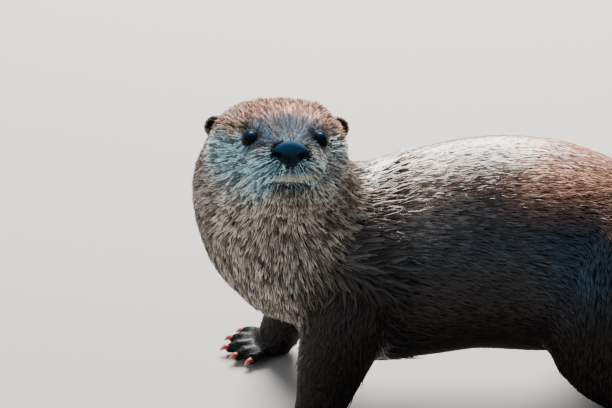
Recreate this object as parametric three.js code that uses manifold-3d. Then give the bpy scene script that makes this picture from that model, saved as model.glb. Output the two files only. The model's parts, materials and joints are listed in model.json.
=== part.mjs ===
// North American river otter, standing on all fours with its head raised and turned over its left shoulder.
// Millimetres. +Z is up and the floor is z = 0. The otter faces -X and its left side faces -Y.
import * as THREE from "three";
import { mergeVertices } from "three/addons/utils/BufferGeometryUtils.js";
import Module from "manifold-3d";

const wasm = await Module();
wasm.setup();

// ---------------------------------------------------------------- driving dimensions

const GAP = 0.35; // clearance between neighbouring pieces
const FINENESS = 0.08; // how far a surface may move when its mesh is thinned
const X_AXIS = new THREE.Vector3(1, 0, 0);
const Y_AXIS = new THREE.Vector3(0, 1, 0);
const Z_AXIS = new THREE.Vector3(0, 0, 1);
const SIDES = { left: 1, right: -1 }; // the sign of each side in the frames of the head and the paws

// The head's own frame: x towards the nose, y to the otter's left, z to the crown.
const HEAD_AT = [-18.5, -133, 231];
const HEAD_PITCH = 34; // degrees that the muzzle points up
const HEAD_TURN = 96.7; // degrees that the head is turned to the otter's left
const HEAD_ROLL = -3.7; // degrees that its left side is lifted
const EYE = { at: [38.5, 22.3, 5.8], radius: 6.6 };
const EAR = { at: [-8, 46, 21.5], half: [4.2, 8.6, 9.6], turn: [-16, -8, 24], wall: 2 };
const NOSE_AT = [66, 0, -5];

// Stations from the first end of a body to its last: the centre, the half width across, and the half
// height above and below the centre.
const TRUNK = [
  { at: [-30, -86, 114], wide: 44, high: 46, low: 46 },
  { at: [-4, -85, 119], wide: 60, high: 56, low: 66 },
  { at: [32, -83, 121], wide: 70, high: 65, low: 81 },
  { at: [75, -81, 125], wide: 74, high: 72, low: 84 },
  { at: [120, -79, 130], wide: 76, high: 80, low: 81 },
  { at: [165, -78, 131], wide: 76, high: 81, low: 86 },
  { at: [210, -79, 124], wide: 73, high: 73, low: 79 },
  { at: [255, -80, 112], wide: 65, high: 60, low: 62 },
  { at: [300, -80, 101], wide: 52, high: 47, low: 46 },
  { at: [338, -80, 91], wide: 36, high: 36, low: 36 },
];
const THROAT = [
  { at: [-20, -108, 226], wide: 53, high: 36, low: 40 },
  { at: [-23, -112, 200], wide: 60, high: 44, low: 46 },
  { at: [-21, -106, 168], wide: 60, high: 49, low: 50 },
  { at: [-10, -97, 134], wide: 56, high: 53, low: 54 },
  { at: [8, -88, 106], wide: 48, high: 50, low: 50 },
];
const NAPE = [
  { at: [-22, -98, 206], wide: 44, high: 34, low: 40 },
  { at: [-2, -90, 176], wide: 54, high: 36, low: 40 },
  { at: [28, -84, 146], wide: 60, high: 42, low: 40 },
];
const TAIL = [
  { at: [300, -80, 101], wide: 42, high: 42, low: 42 },
  { at: [348, -80, 84], wide: 36, high: 34, low: 34 },
  { at: [402, -77, 59], wide: 30, high: 26, low: 26 },
  { at: [462, -69, 35], wide: 25, high: 20, low: 20 },
  { at: [525, -57, 18], wide: 20, high: 15, low: 18 },
  { at: [590, -46, 11], wide: 15, high: 11, low: 13 },
  { at: [650, -42, 8], wide: 10, high: 8, low: 9 },
  { at: [700, -46, 5.5], wide: 5, high: 5, low: 6 },
];
const TAIL_SPLIT = 455; // x of the cut between the two lengths of the tail

// Each leg runs down from inside the trunk. Its stations' `high` is towards the tail and `low` towards
// the nose. `joint` and `wrist` are the heights of its two cuts.
const LEGS = {
  front_left: {
    stations: [
      { at: [38, -121, 128], wide: 28, high: 36, low: 36 },
      { at: [35, -131, 98], wide: 29, high: 31, low: 37 },
      { at: [22, -139, 68], wide: 25, high: 29, low: 31 },
      { at: [15, -144, 45], wide: 21, high: 24, low: 24 },
      { at: [9, -147, 25], wide: 19, high: 19, low: 19 },
      { at: [3, -148, 12], wide: 18, high: 16, low: 18 },
    ],
    joint: 70,
    wrist: 26,
    names: ["upper_arm", "forearm", "paw"],
    paw: { at: [-6, -149, 0], heading: 190 },
  },
  front_right: {
    stations: [
      { at: [30, -45, 126], wide: 28, high: 34, low: 36 },
      { at: [20, -33, 94], wide: 27, high: 30, low: 34 },
      { at: [3, -25, 66], wide: 24, high: 26, low: 28 },
      { at: [-9, -20, 44], wide: 21, high: 22, low: 23 },
      { at: [-17, -17, 25], wide: 19, high: 18, low: 18 },
      { at: [-23, -16, 12], wide: 18, high: 16, low: 18 },
    ],
    joint: 68,
    wrist: 26,
    names: ["upper_arm", "forearm", "paw"],
    paw: { at: [-26, -16, 0], heading: 188 },
  },
  hind_left: {
    stations: [
      { at: [258, -112, 136], wide: 34, high: 42, low: 48, square: 2.3 },
      { at: [230, -130, 116], wide: 35, high: 48, low: 60, square: 2.3 },
      { at: [223, -141, 86], wide: 30, high: 44, low: 52 },
      { at: [236, -147, 58], wide: 23, high: 34, low: 38 },
      { at: [258, -150, 36], wide: 18, high: 22, low: 24 },
      { at: [268, -151, 18], wide: 16, high: 15, low: 20 },
    ],
    joint: 76,
    wrist: 30,
    names: ["thigh", "shank", "foot"],
    paw: { at: [234, -151, 0], heading: 187 },
  },
  hind_right: {
    stations: [
      { at: [258, -48, 136], wide: 34, high: 42, low: 48, square: 2.3 },
      { at: [234, -30, 116], wide: 35, high: 48, low: 60, square: 2.3 },
      { at: [231, -19, 86], wide: 30, high: 44, low: 52 },
      { at: [246, -13, 58], wide: 23, high: 34, low: 38 },
      { at: [271, -10, 36], wide: 18, high: 22, low: 24 },
      { at: [281, -9, 18], wide: 16, high: 15, low: 20 },
    ],
    joint: 76,
    wrist: 30,
    names: ["thigh", "shank", "foot"],
    paw: { at: [248, -9, 0], heading: 173 },
  },
};

// A paw's own frame: x towards the toes, y to the otter's left, and z = 0 is the sole. The fan is the
// angle between the outer toes.
const FORE_PAW = { heel: -16, palm: 14, width: 19, height: 10, toes: [19, 25, 27, 25, 19], fan: 62, toe: 5 };
const HIND_PAW = { heel: -48, palm: 14, width: 20, height: 10, toes: [24, 31, 34, 32, 26], fan: 52, toe: 5.4 };
const CLAW = { length: 6.5, radius: 1.9 };
const WEB = { thick: 2.6 };

// Head stations, in the head's frame.
const SKULL = [
  { at: [-60, 0, -2], wide: 40, high: 30, low: 36 },
  { at: [-42, 0, 0], wide: 49, high: 37, low: 42, square: 2.3 },
  { at: [-20, 0, 0], wide: 53, high: 40.5, low: 46, square: 2.45 },
  { at: [0, 0, 0], wide: 52, high: 41, low: 47, square: 2.45 },
  { at: [16, 0, -1], wide: 47, high: 37, low: 44, square: 2.3 },
  { at: [28, 0, -3], wide: 39.5, high: 31, low: 40, square: 2.1 },
  { at: [38, 0, -6], wide: 31, high: 24, low: 34 },
  { at: [48, 0, -9], wide: 26.5, high: 19, low: 28 },
  { at: [58, 0, -11], wide: 24, high: 16.5, low: 23 },
  { at: [66, 0, -11.5], wide: 19, high: 14, low: 18 },
];

// ---------------------------------------------------------------- solids

// A closed geometry as a solid. Its shared vertices are merged first.
function solid(geometry) {
  const bare = new THREE.BufferGeometry().setAttribute("position", geometry.getAttribute("position"));
  if (geometry.index) bare.setIndex(geometry.index);
  const merged = mergeVertices(bare, 1e-4);
  return new wasm.Manifold(
    new wasm.Mesh({
      numProp: 3,
      vertProperties: merged.attributes.position.array,
      triVerts: new Uint32Array(merged.index.array),
    }),
  );
}

// A solid's faces as a flat-shaded geometry.
function geometryOf(body) {
  const mesh = body.getMesh();
  const geometry = new THREE.BufferGeometry();
  geometry.setAttribute("position", new THREE.BufferAttribute(mesh.vertProperties, 3));
  geometry.setIndex(new THREE.BufferAttribute(mesh.triVerts, 1));
  const flat = geometry.toNonIndexed();
  flat.computeVertexNormals();
  return flat;
}

const join = (bodies) => bodies.reduce((whole, body) => whole.add(body));

// The largest of the bodies that a cut leaves.
function largest(body) {
  return body.decompose().reduce((best, piece) => (piece.volume() > best.volume() ? piece : best));
}

// A box-shaped half space: everything on the far side of `point` along `normal`.
function halfSpace(point, normal) {
  const size = 2400;
  const box = new THREE.BoxGeometry(size, size, size);
  box.translate(0, 0, size / 2);
  box.applyQuaternion(new THREE.Quaternion().setFromUnitVectors(Z_AXIS, normal.clone().normalize()));
  return solid(box.translate(...point));
}

// Parts a body at a plane, with the gap between the two: the side that the normal leaves, then the other.
function partAt(body, point, normal) {
  const way = new THREE.Vector3(...normal).normalize();
  const middle = new THREE.Vector3(...point);
  const far = middle.clone().addScaledVector(way, GAP / 2);
  const near = middle.clone().addScaledVector(way, -GAP / 2);
  return [
    body.subtract(halfSpace(near.toArray(), way)),
    body.subtract(halfSpace(far.toArray(), way.clone().negate())),
  ];
}

const mix = (a, b, share) => a + (b - a) * share;

// A closed body along a smooth line through its stations, with both ends rounded. `across` is the
// direction of each station's width, and `grow` makes the body larger all round.
function loft(stations, { across = Y_AXIS, sides = 24, rings = 24, capRings = 4, caps = [0.05, 0.05], grow = 0 }) {
  const points = stations.map((station) => new THREE.Vector3(...station.at));
  const line = new THREE.CatmullRomCurve3(points, false, "centripetal");
  const sizes = new THREE.CatmullRomCurve3(
    stations.map((station) => new THREE.Vector3(station.wide, station.high, station.low ?? station.high)),
  );
  const squareness = new THREE.CatmullRomCurve3(
    stations.map((station) => new THREE.Vector3(station.square ?? 2, 0, 0)),
  );
  const geometry = new THREE.SphereGeometry(1, sides, rings);
  const position = geometry.getAttribute("position");
  const capShare = capRings / rings;
  const vertex = new THREE.Vector3();
  for (let i = 0; i < position.count; i++) {
    vertex.fromBufferAttribute(position, i);
    const share = Math.acos(THREE.MathUtils.clamp(vertex.y, -1, 1)) / Math.PI;
    const fromEnd = Math.min(share, 1 - share, capShare) / capShare;
    const turn = (fromEnd * Math.PI) / 2;
    const atStart = share < 0.5;
    let t = mix(caps[0], 1 - caps[1], (share - capShare) / (1 - 2 * capShare));
    if (fromEnd < 1) t = atStart ? caps[0] * (1 - Math.cos(turn)) : 1 - caps[1] * (1 - Math.cos(turn));
    const along = line.getTangent(t);
    const side = across.clone().addScaledVector(along, -across.dot(along)).normalize();
    const up = along.clone().cross(side);
    const size = sizes.getPoint(t);
    const round = Math.sin(turn);
    const angle = Math.atan2(vertex.z, vertex.x);
    const bulge = (value) => Math.sign(value) * Math.abs(value) ** (2 / squareness.getPoint(t).x);
    const height = Math.sin(angle) > 0 ? size.y : size.z;
    const place = line
      .getPoint(t)
      .addScaledVector(side, bulge(Math.cos(angle)) * (size.x + grow) * round)
      .addScaledVector(up, bulge(Math.sin(angle)) * (height + grow) * round)
      .addScaledVector(along, (atStart ? -grow : grow) * Math.cos(turn));
    position.setXYZ(i, place.x, place.y, place.z);
  }
  return geometry;
}

// An ellipsoid with its half sizes, turned by degrees about x, y and z, at a place.
function ellipsoid(at, half, turn = [0, 0, 0], sides = 16, rings = 12) {
  const geometry = new THREE.SphereGeometry(1, sides, rings);
  geometry.scale(...half);
  const radians = turn.map(THREE.MathUtils.degToRad);
  geometry.applyMatrix4(new THREE.Matrix4().makeRotationFromEuler(new THREE.Euler(...radians, "ZYX")));
  return geometry.translate(...at);
}

// ---------------------------------------------------------------- materials

const finish = (color, roughness) => new THREE.MeshStandardMaterial({ color, roughness, metalness: 0 });
const darkCoat = finish(0x3a2a22, 0.5);
const paleCoat = finish(0x8f7d69, 0.6);
const headCoat = finish(0x5d4a3d, 0.55);
const bareSkin = finish(0x17181a, 0.4);
const eyeGloss = finish(0x0c0808, 0.08);
const horn = finish(0x5a3a2a, 0.35);

const otter = new THREE.Group();

// Adds a body to a group as a named mesh, in that group's own frame.
function addPiece(name, body, material, group = otter) {
  const mesh = new THREE.Mesh(geometryOf(largest(body.simplify(FINENESS))), material);
  mesh.name = name;
  group.add(mesh);
}

// A group in the otter's frame: where it stands, its turn to the left, its pitch up and its roll, in degrees.
function posedGroup(at, turn, pitch = 0, roll = 0) {
  const group = new THREE.Group();
  group.position.set(...at);
  group.rotation.set(...[roll, -pitch, turn].map(THREE.MathUtils.degToRad), "ZYX");
  group.updateMatrix();
  otter.add(group);
  return group;
}

const headGroup = posedGroup(HEAD_AT, 180 + HEAD_TURN, HEAD_PITCH, HEAD_ROLL);

// ---------------------------------------------------------------- trunk, neck and tail

const floor = halfSpace([0, 0, 0], new THREE.Vector3(0, 0, -1));
const TRUNK_MESH = { sides: 22, rings: 20, caps: [0.08, 0.05] };
const trunk = solid(loft(TRUNK, TRUNK_MESH));
const trunkGrown = solid(loft(TRUNK, { ...TRUNK_MESH, grow: GAP }));
addPiece("trunk", trunk, darkCoat);

const SKULL_MESH = { sides: 20, rings: 14, capRings: 2, caps: [0.1, 0.04] };
const skullGrown = solid(loft(SKULL, { ...SKULL_MESH, grow: GAP }));
const skullGrownInPlace = solid(loft(SKULL, { ...SKULL_MESH, grow: GAP }).applyMatrix4(headGroup.matrix));
const neckWith = (grow) =>
  join([
    solid(loft(THROAT, { across: X_AXIS, sides: 16, rings: 11, capRings: 3, caps: [0.1, 0.1], grow })),
    solid(loft(NAPE, { sides: 16, rings: 7, capRings: 2, caps: [0.2, 0.2], grow })),
  ]);
const bodyGrown = trunkGrown.add(neckWith(GAP));
addPiece("neck", neckWith(0).subtract(trunkGrown).subtract(skullGrownInPlace), paleCoat);

const tail = solid(loft(TAIL, { sides: 14, rings: 17, capRings: 2, caps: [0.06, 0.02] }));
const tailOut = largest(tail.subtract(trunkGrown).subtract(floor));
const [tailBase, tailEnd] = partAt(tailOut, [TAIL_SPLIT, 0, 0], [1, 0, 0]);
addPiece("tail_base", tailBase, darkCoat);
addPiece("tail_end", tailEnd, darkCoat);

// ---------------------------------------------------------------- head

const bothSides = (make) => Object.values(SIDES).map((side) => solid(make(side)));
const skull = solid(loft(SKULL, SKULL_MESH));
const muzzlePads = bothSides((s) => ellipsoid([52, s * 12.5, -15], [16.5, 14.5, 12], [0, 0, s * 10], 10, 8));
const chin = solid(ellipsoid([44, 0, -27], [18, 19, 11], [0, -8, 0], 10, 7));
const nosePad = (grow) => {
  const [x, y, z] = NOSE_AT;
  const bridge = ellipsoid([x, y, z + 1.5], [6 + grow, 13.5 + grow, 8 + grow], [0, 18, 0], 10, 7);
  const lip = ellipsoid([x - 0.5, y, z - 6.5], [6 + grow, 8 + grow, 7 + grow], [0, 0, 0], 8, 6);
  return join([solid(bridge), solid(lip)]);
};
const nostrils = bothSides((s) =>
  ellipsoid([NOSE_AT[0] + 4.5, s * 8.5, NOSE_AT[2] - 3], [4.5, 3.2, 1.9], [s * 22, 0, 0], 6, 5),
);
const eyeBall = (side, grow) => {
  const half = Array(3).fill(EYE.radius + grow);
  return solid(ellipsoid([EYE.at[0], side * EYE.at[1], EYE.at[2]], half, [0, 0, 0], 9, 7));
};
const eyeSockets = Object.values(SIDES).map((side) => eyeBall(side, GAP));
const headBody = join([skull, ...muzzlePads, chin]).subtract(join([nosePad(GAP), ...eyeSockets]));

addPiece("head", headBody, headCoat, headGroup);
addPiece("nose", nosePad(0).subtract(join(nostrils)), bareSkin, headGroup);
for (const [sideName, side] of Object.entries(SIDES)) {
  addPiece(`eye_${sideName}`, eyeBall(side, 0), eyeGloss, headGroup);
  const [x, y, z] = EAR.at;
  const turn = [side * EAR.turn[0], EAR.turn[1], side * EAR.turn[2]];
  const shell = solid(ellipsoid([x, side * y, z], EAR.half, turn, 9, 8));
  const inner = EAR.half.map((half) => half - EAR.wall);
  const hollow = solid(ellipsoid([x + EAR.half[0], side * (y + 1), z + 0.5], inner, turn, 7, 6));
  addPiece(`ear_${sideName}`, shell.subtract(hollow).subtract(skullGrown), headCoat, headGroup);
}

// ---------------------------------------------------------------- legs and paws

// The flesh and the claws of one paw, in the paw's own frame. The flesh is open where the claws sit.
function pawPieces({ heel, palm, width, height, toes, fan, toe }) {
  const sole = [
    { at: [heel, 0, height], wide: width * 0.7, high: height, low: height + 1 },
    { at: [(heel + palm) / 2, 0, height], wide: width * 0.95, high: height, low: height + 1 },
    { at: [palm, 0, height - 3], wide: width, high: height - 3, low: height - 2 },
  ];
  const flesh = [
    solid(loft(sole, { sides: 10, rings: 4, capRings: 1, caps: [0.12, 0.2] })),
    solid(ellipsoid([palm + 2, 0, 5], [toes[2] * 0.62, width * 1.05, WEB.thick], [0, 4, 0], 8, 4)),
  ];
  const claws = [];
  const clawSockets = [];
  toes.forEach((length, i) => {
    const across = i / (toes.length - 1) - 0.5;
    const angle = THREE.MathUtils.degToRad(-across * fan);
    const [dx, dy] = [Math.cos(angle), Math.sin(angle)];
    const root = [palm - 5 - Math.abs(across) * 8, -across * width * 1.5];
    const along = (distance, z) => [root[0] + dx * distance, root[1] + dy * distance, z];
    const sideways = new THREE.Vector3(-dy, dx, 0);
    const digit = [
      { at: along(0, toe + 4), wide: toe, high: toe },
      { at: along(length * 0.45, toe + 4.5), wide: toe, high: toe },
      { at: along(length * 0.8, toe + 0.5), wide: toe, high: toe },
      { at: along(length * 1.05, toe - 0.6), wide: toe * 0.8, high: toe * 0.8 },
    ];
    flesh.push(solid(loft(digit, { across: sideways, sides: 6, rings: 4, capRings: 1, caps: [0.06, 0.1] })));
    const tip = length * 1.05;
    const claw = [
      { at: along(tip - 2, toe + 1), wide: CLAW.radius, high: CLAW.radius * 1.3 },
      { at: along(tip, toe + 1.6), wide: CLAW.radius, high: CLAW.radius * 1.2 },
      { at: along(tip + CLAW.length * 0.55, toe - 0.4), wide: CLAW.radius * 0.7, high: CLAW.radius * 0.8 },
      { at: along(tip + CLAW.length, 1.6), wide: 0.4, high: 0.5 },
    ];
    const clawMesh = { across: sideways, sides: 4, rings: 4, capRings: 1, caps: [0.04, 0.04] };
    claws.push(solid(loft(claw, clawMesh)));
    clawSockets.push(solid(loft(claw, { ...clawMesh, grow: GAP })));
  });
  return { flesh: join(flesh).subtract(join(clawSockets)), claws };
}

const down = [0, 0, -1];
for (const [leg, { stations, joint, wrist, names, paw }] of Object.entries(LEGS)) {
  const group = posedGroup(paw.at, paw.heading);
  const { flesh, claws } = pawPieces(leg.startsWith("front") ? FORE_PAW : HIND_PAW);
  const limb = solid(loft(stations, { sides: 12, rings: 11, capRings: 2, caps: [0.1, 0.06] }));
  const fleshInPlace = solid(geometryOf(flesh).applyMatrix4(group.matrix));
  const whole = largest(limb.subtract(bodyGrown).add(fleshInPlace).subtract(floor));
  const [upper, rest] = partAt(whole, [0, 0, joint], down);
  const [lower, foot] = partAt(rest, [0, 0, wrist], down);
  addPiece(`${names[0]}_${leg}`, upper, darkCoat);
  addPiece(`${names[1]}_${leg}`, lower, darkCoat);
  addPiece(`${names[2]}_${leg}`, foot, bareSkin);
  claws.forEach((claw, i) => addPiece(`claw_${leg}_${i + 1}`, claw.subtract(floor), horn, group));
}

// The middle of the otter's box, over the floor, becomes the origin.
const middle = new THREE.Box3().setFromObject(otter, true).getCenter(new THREE.Vector3());
otter.position.set(-middle.x, -middle.y, 0);

export default otter;
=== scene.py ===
"""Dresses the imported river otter: skin, a wet coat of solid tufts, eyes, nose, ears, claws and whiskers."""

import json
import logging
import math
from collections.abc import Callable, Iterator
from contextlib import contextmanager
from dataclasses import dataclass, field, replace
from enum import Enum

import bpy
import numpy as np
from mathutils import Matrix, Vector
from mathutils.bvhtree import BVHTree

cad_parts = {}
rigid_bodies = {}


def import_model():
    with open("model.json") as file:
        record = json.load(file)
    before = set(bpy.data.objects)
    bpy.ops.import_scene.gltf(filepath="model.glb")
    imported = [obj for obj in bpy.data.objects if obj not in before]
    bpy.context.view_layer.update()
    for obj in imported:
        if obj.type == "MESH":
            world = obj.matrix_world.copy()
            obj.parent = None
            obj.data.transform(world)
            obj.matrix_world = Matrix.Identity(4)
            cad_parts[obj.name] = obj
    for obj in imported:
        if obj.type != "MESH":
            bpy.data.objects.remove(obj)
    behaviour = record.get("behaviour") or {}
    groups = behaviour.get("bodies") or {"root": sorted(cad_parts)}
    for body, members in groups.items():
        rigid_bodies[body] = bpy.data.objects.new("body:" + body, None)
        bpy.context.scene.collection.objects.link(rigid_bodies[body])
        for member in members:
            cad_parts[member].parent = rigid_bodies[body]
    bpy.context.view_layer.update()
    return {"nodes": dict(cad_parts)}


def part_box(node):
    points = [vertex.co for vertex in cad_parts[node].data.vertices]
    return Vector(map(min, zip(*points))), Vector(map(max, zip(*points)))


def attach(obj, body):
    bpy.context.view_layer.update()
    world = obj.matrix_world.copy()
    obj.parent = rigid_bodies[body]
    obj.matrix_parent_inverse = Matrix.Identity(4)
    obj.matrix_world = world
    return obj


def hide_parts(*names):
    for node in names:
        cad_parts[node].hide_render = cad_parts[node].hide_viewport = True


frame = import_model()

Array = np.ndarray
Piece = bpy.types.Object
Mesh = bpy.types.Mesh
Tree = bpy.types.NodeTree
Plug = bpy.types.NodeSocket
Colour = tuple[float, float, float]
Feeds = dict[str | int, object]

MM = 0.001
SIDES = {"left": 1.0, "right": -1.0}
FRONT_LEG = ("upper_arm", "forearm", "paw")
HIND_LEG = ("thigh", "shank", "foot")
LEGS = {"front_left": FRONT_LEG, "front_right": FRONT_LEG, "hind_left": HIND_LEG, "hind_right": HIND_LEG}
FLESH = (
    "head", "neck", "trunk", "tail_base", "tail_end",
    *(f"{part}_{leg}" for leg, parts in LEGS.items() for part in parts),
)
FLOOR_CLEARANCE = 0.3 * MM
NOSE_SIDE = 0.9
NOSE_LEVEL = -5.2
# The coat's marks. Cool is a painted cast of light; Warm, Dusk and Pale carry painted sunlight, a painted sky
# reflection and a painted sheen in places.
MARKS = ("Pale", "Cool", "Warm", "Cream", "Dusk")

log = logging.getLogger("otter")


class Zone(Enum):
    """The parts of the body that carry different fur."""

    HEAD = "head"
    NECK = "neck"
    TRUNK = "trunk"
    TAIL = "tail"
    LEG = "leg"
    PAW = "paw"


class Slot(Enum):
    """The material slots of the otter."""

    BODY = "body_coat"
    HEAD = "head_coat"
    THROAT = "throat_coat"
    BARE = "bare_skin"
    CLAW = "claw"
    EYE = "eye"


# ------------------------------------------------------------------ small helpers


def smooth(low: float, high: float, value: Array) -> Array:
    """Rises smoothly from 0 at low to 1 at high, and falls where low is over high."""
    share = np.clip((value - low) / (high - low), 0.0, 1.0)
    return share * share * (3.0 - 2.0 * share)


def bump(value: Array, middle: float, width: float) -> Array:
    """A bell of height 1 about a middle."""
    return np.exp(-(((value - middle) / width) ** 2))


def unit(vectors: Array) -> Array:
    """Vectors of length 1 along the last axis."""
    return vectors / np.maximum(np.linalg.norm(vectors, axis=-1, keepdims=True), 1e-12)


def middle(points: Array) -> Array:
    """The middle of the box around some points."""
    return (points.min(axis=0) + points.max(axis=0)) / 2.0


def slice_middle(points: Array, axis: int, share: float, band: float = 0.12) -> Array:
    """The middle of a slice through a body.

    Args:
        points: the body's vertices.
        axis: the axis that the slice crosses.
        share: where the slice lies, from 0 at the low end to 1 at the high end.
        band: half the slice's thickness, as a share of the body's length.

    Returns:
        The middle of the slice's box.
    """
    low, high = points[:, axis].min(), points[:, axis].max()
    shares = (points[:, axis] - low) / (high - low)
    return middle(points[np.abs(shares - share) < band])


def above_floor(points: Array) -> Array:
    """Lifts points clear of the floor and returns them."""
    points[..., 2] = np.maximum(points[..., 2], FLOOR_CLEARANCE)
    return points


def read(items: bpy.types.bpy_prop_collection, key: str, width: int, kind: type = float) -> Array:
    """Reads a property of a mesh's elements.

    Args:
        items: the vertices, edges, corners or faces.
        key: the property's name.
        width: how many numbers it has.
        kind: the type of its numbers.

    Returns:
        A row for each element, or a number where width is 1.
    """
    values = np.empty(len(items) * width, dtype=kind)
    items.foreach_get(key, values)
    return values.reshape(-1, width) if width > 1 else values


def vertex_array(mesh: Mesh) -> Array:
    """A mesh's vertices."""
    return read(mesh.vertices, "co", 3)


def normal_array(mesh: Mesh) -> Array:
    """A mesh's vertex normals."""
    return read(mesh.vertex_normals, "vector", 3)


def node_points(name: str) -> Array:
    """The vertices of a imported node, in metres."""
    return vertex_array(frame["nodes"][name].data)


def set_vertices(mesh: Mesh, points: Array) -> None:
    """Moves a mesh's vertices."""
    mesh.vertices.foreach_set("co", points.astype(np.float32).ravel())
    mesh.update()


def put_attributes(mesh: Mesh, values: dict[str, Array]) -> None:
    """Stores numbers for each vertex under their names."""
    for name, numbers in values.items():
        mesh.attributes.new(name, "FLOAT", "POINT").data.foreach_set("value", numbers.astype(np.float32))


def tube_faces(corners: int, rings: int) -> list[tuple[int, ...]]:
    """The faces between rings of corners that follow each other.

    Args:
        corners: how many corners each ring has.
        rings: how many rings there are.

    Returns:
        The corners of each four-sided face.
    """
    return [
        (low + i, low + (i + 1) % corners, low + corners + (i + 1) % corners, low + corners + i)
        for low in range(0, (rings - 1) * corners, corners)
        for i in range(corners)
    ]


def deselect() -> None:
    """Clears the selection."""
    bpy.ops.object.select_all(action="DESELECT")


def activate(piece: Piece) -> None:
    """Selects one object alone and makes it active."""
    deselect()
    piece.select_set(True)
    bpy.context.view_layer.objects.active = piece


@contextmanager
def editing(piece: Piece, select: bool = True) -> Iterator[None]:
    """Opens a piece in edit mode for as long as its block runs.

    Args:
        piece: the piece to edit.
        select: selects the whole mesh first; otherwise the selection stays.
    """
    activate(piece)
    bpy.ops.object.mode_set(mode="EDIT")
    if select:
        bpy.ops.mesh.select_all(action="SELECT")
    yield
    bpy.ops.object.mode_set(mode="OBJECT")


def apply_modifier(piece: Piece, kind: str, **settings: object) -> None:
    """Adds a modifier and applies it.

    Args:
        piece: the piece that it shapes.
        kind: the modifier's type.
        settings: its properties.
    """
    activate(piece)
    modifier = piece.modifiers.new(kind.lower(), kind)
    for name, value in settings.items():
        setattr(modifier, name, value)
    bpy.ops.object.modifier_apply(modifier=modifier.name)


def place(name: str, data: bpy.types.ID) -> Piece:
    """Puts a mesh, a light or a camera into the scene as an object."""
    piece = bpy.data.objects.new(name, data)
    bpy.context.scene.collection.objects.link(piece)
    return piece


def add_mesh(name: str, points: list[tuple[float, ...]], faces: list[tuple[int, ...]]) -> Piece:
    """Makes an object from corners and faces."""
    mesh = bpy.data.meshes.new(name)
    mesh.from_pydata(points, [], faces)
    return place(name, mesh)


def add_ball(segments: int, rings: int, radius: float = 1.0) -> Piece:
    """Adds a sphere to start a round piece from."""
    deselect()
    bpy.ops.mesh.primitive_uv_sphere_add(segments=segments, ring_count=rings, radius=radius)
    return bpy.context.active_object


def join(pieces: list[Piece], name: str) -> Piece:
    """Joins objects into one.

    Args:
        pieces: the objects, of which the first one stays.
        name: the name of the whole.

    Returns:
        The joined object.
    """
    activate(pieces[0])
    for piece in pieces:
        piece.select_set(True)
    bpy.ops.object.join()
    pieces[0].name = pieces[0].data.name = name
    return pieces[0]


def finish_piece(piece: Piece, replaced: tuple[str, ...] = ()) -> None:
    """Tells the frame about a finished piece.

    Args:
        piece: the piece, which rides on the only body.
        replaced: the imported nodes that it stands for.
    """
    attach(piece, "root")
    if replaced:
        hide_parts(*replaced)
    log.info("%s: %d faces", piece.name, len(piece.data.polygons))


def dress(piece: Piece, finish: "Finish", replaced: tuple[str, ...] = ()) -> None:
    """Gives a piece its finish and smooth faces, and hands it to the frame.

    Args:
        piece: the piece.
        finish: what it is made of.
        replaced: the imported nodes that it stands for.
    """
    piece.data.materials.clear()
    piece.data.materials.append(finish.material())
    activate(piece)
    bpy.ops.object.shade_smooth()
    finish_piece(piece, replaced)


# ------------------------------------------------------------------ where the parts lie


@dataclass
class HeadFrame:
    """The head's own frame: x to the nose, y to the otter's left, z to the crown, in millimetres."""

    eye_lead: float = 38.5
    eye_rise: float = 5.8
    muzzle_drop: float = 25.07
    origin: Array = field(init=False)
    axes: Array = field(init=False)

    def __post_init__(self) -> None:
        """Works the frame out from the eyes and the nose."""
        eyes = {side: middle(node_points(f"eye_{side}")) for side in SIDES}
        between = (eyes["left"] + eyes["right"]) / 2.0
        left = unit(eyes["left"] - eyes["right"])
        to_nose = middle(node_points("nose")) - between
        level = unit(to_nose - left * (to_nose @ left))
        rise = np.cross(level, left)
        drop = math.radians(self.muzzle_drop)
        forward = level * math.cos(drop) + rise * math.sin(drop)
        up = rise * math.cos(drop) - level * math.sin(drop)
        self.axes = np.array([forward, left, up])
        self.origin = between - (forward * self.eye_lead + up * self.eye_rise) * MM

    def local(self, points: Array) -> Array:
        """World points, in metres, in the head's frame, in millimetres."""
        return (points - self.origin) @ self.axes.T / MM

    def world(self, points: Array) -> Array:
        """Points of the head's frame, in millimetres, in the world, in metres."""
        return np.asarray(points, dtype=float) * MM @ self.axes + self.origin

    def turned(self, directions: Array) -> Array:
        """Directions of the head's frame in the world."""
        return np.asarray(directions, dtype=float) @ self.axes


@dataclass(frozen=True, eq=False)
class Bone:
    """A straight stretch of the body that fur follows."""

    zone: Zone
    start: Array
    end: Array
    radius: float
    lane: int = 0


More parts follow.
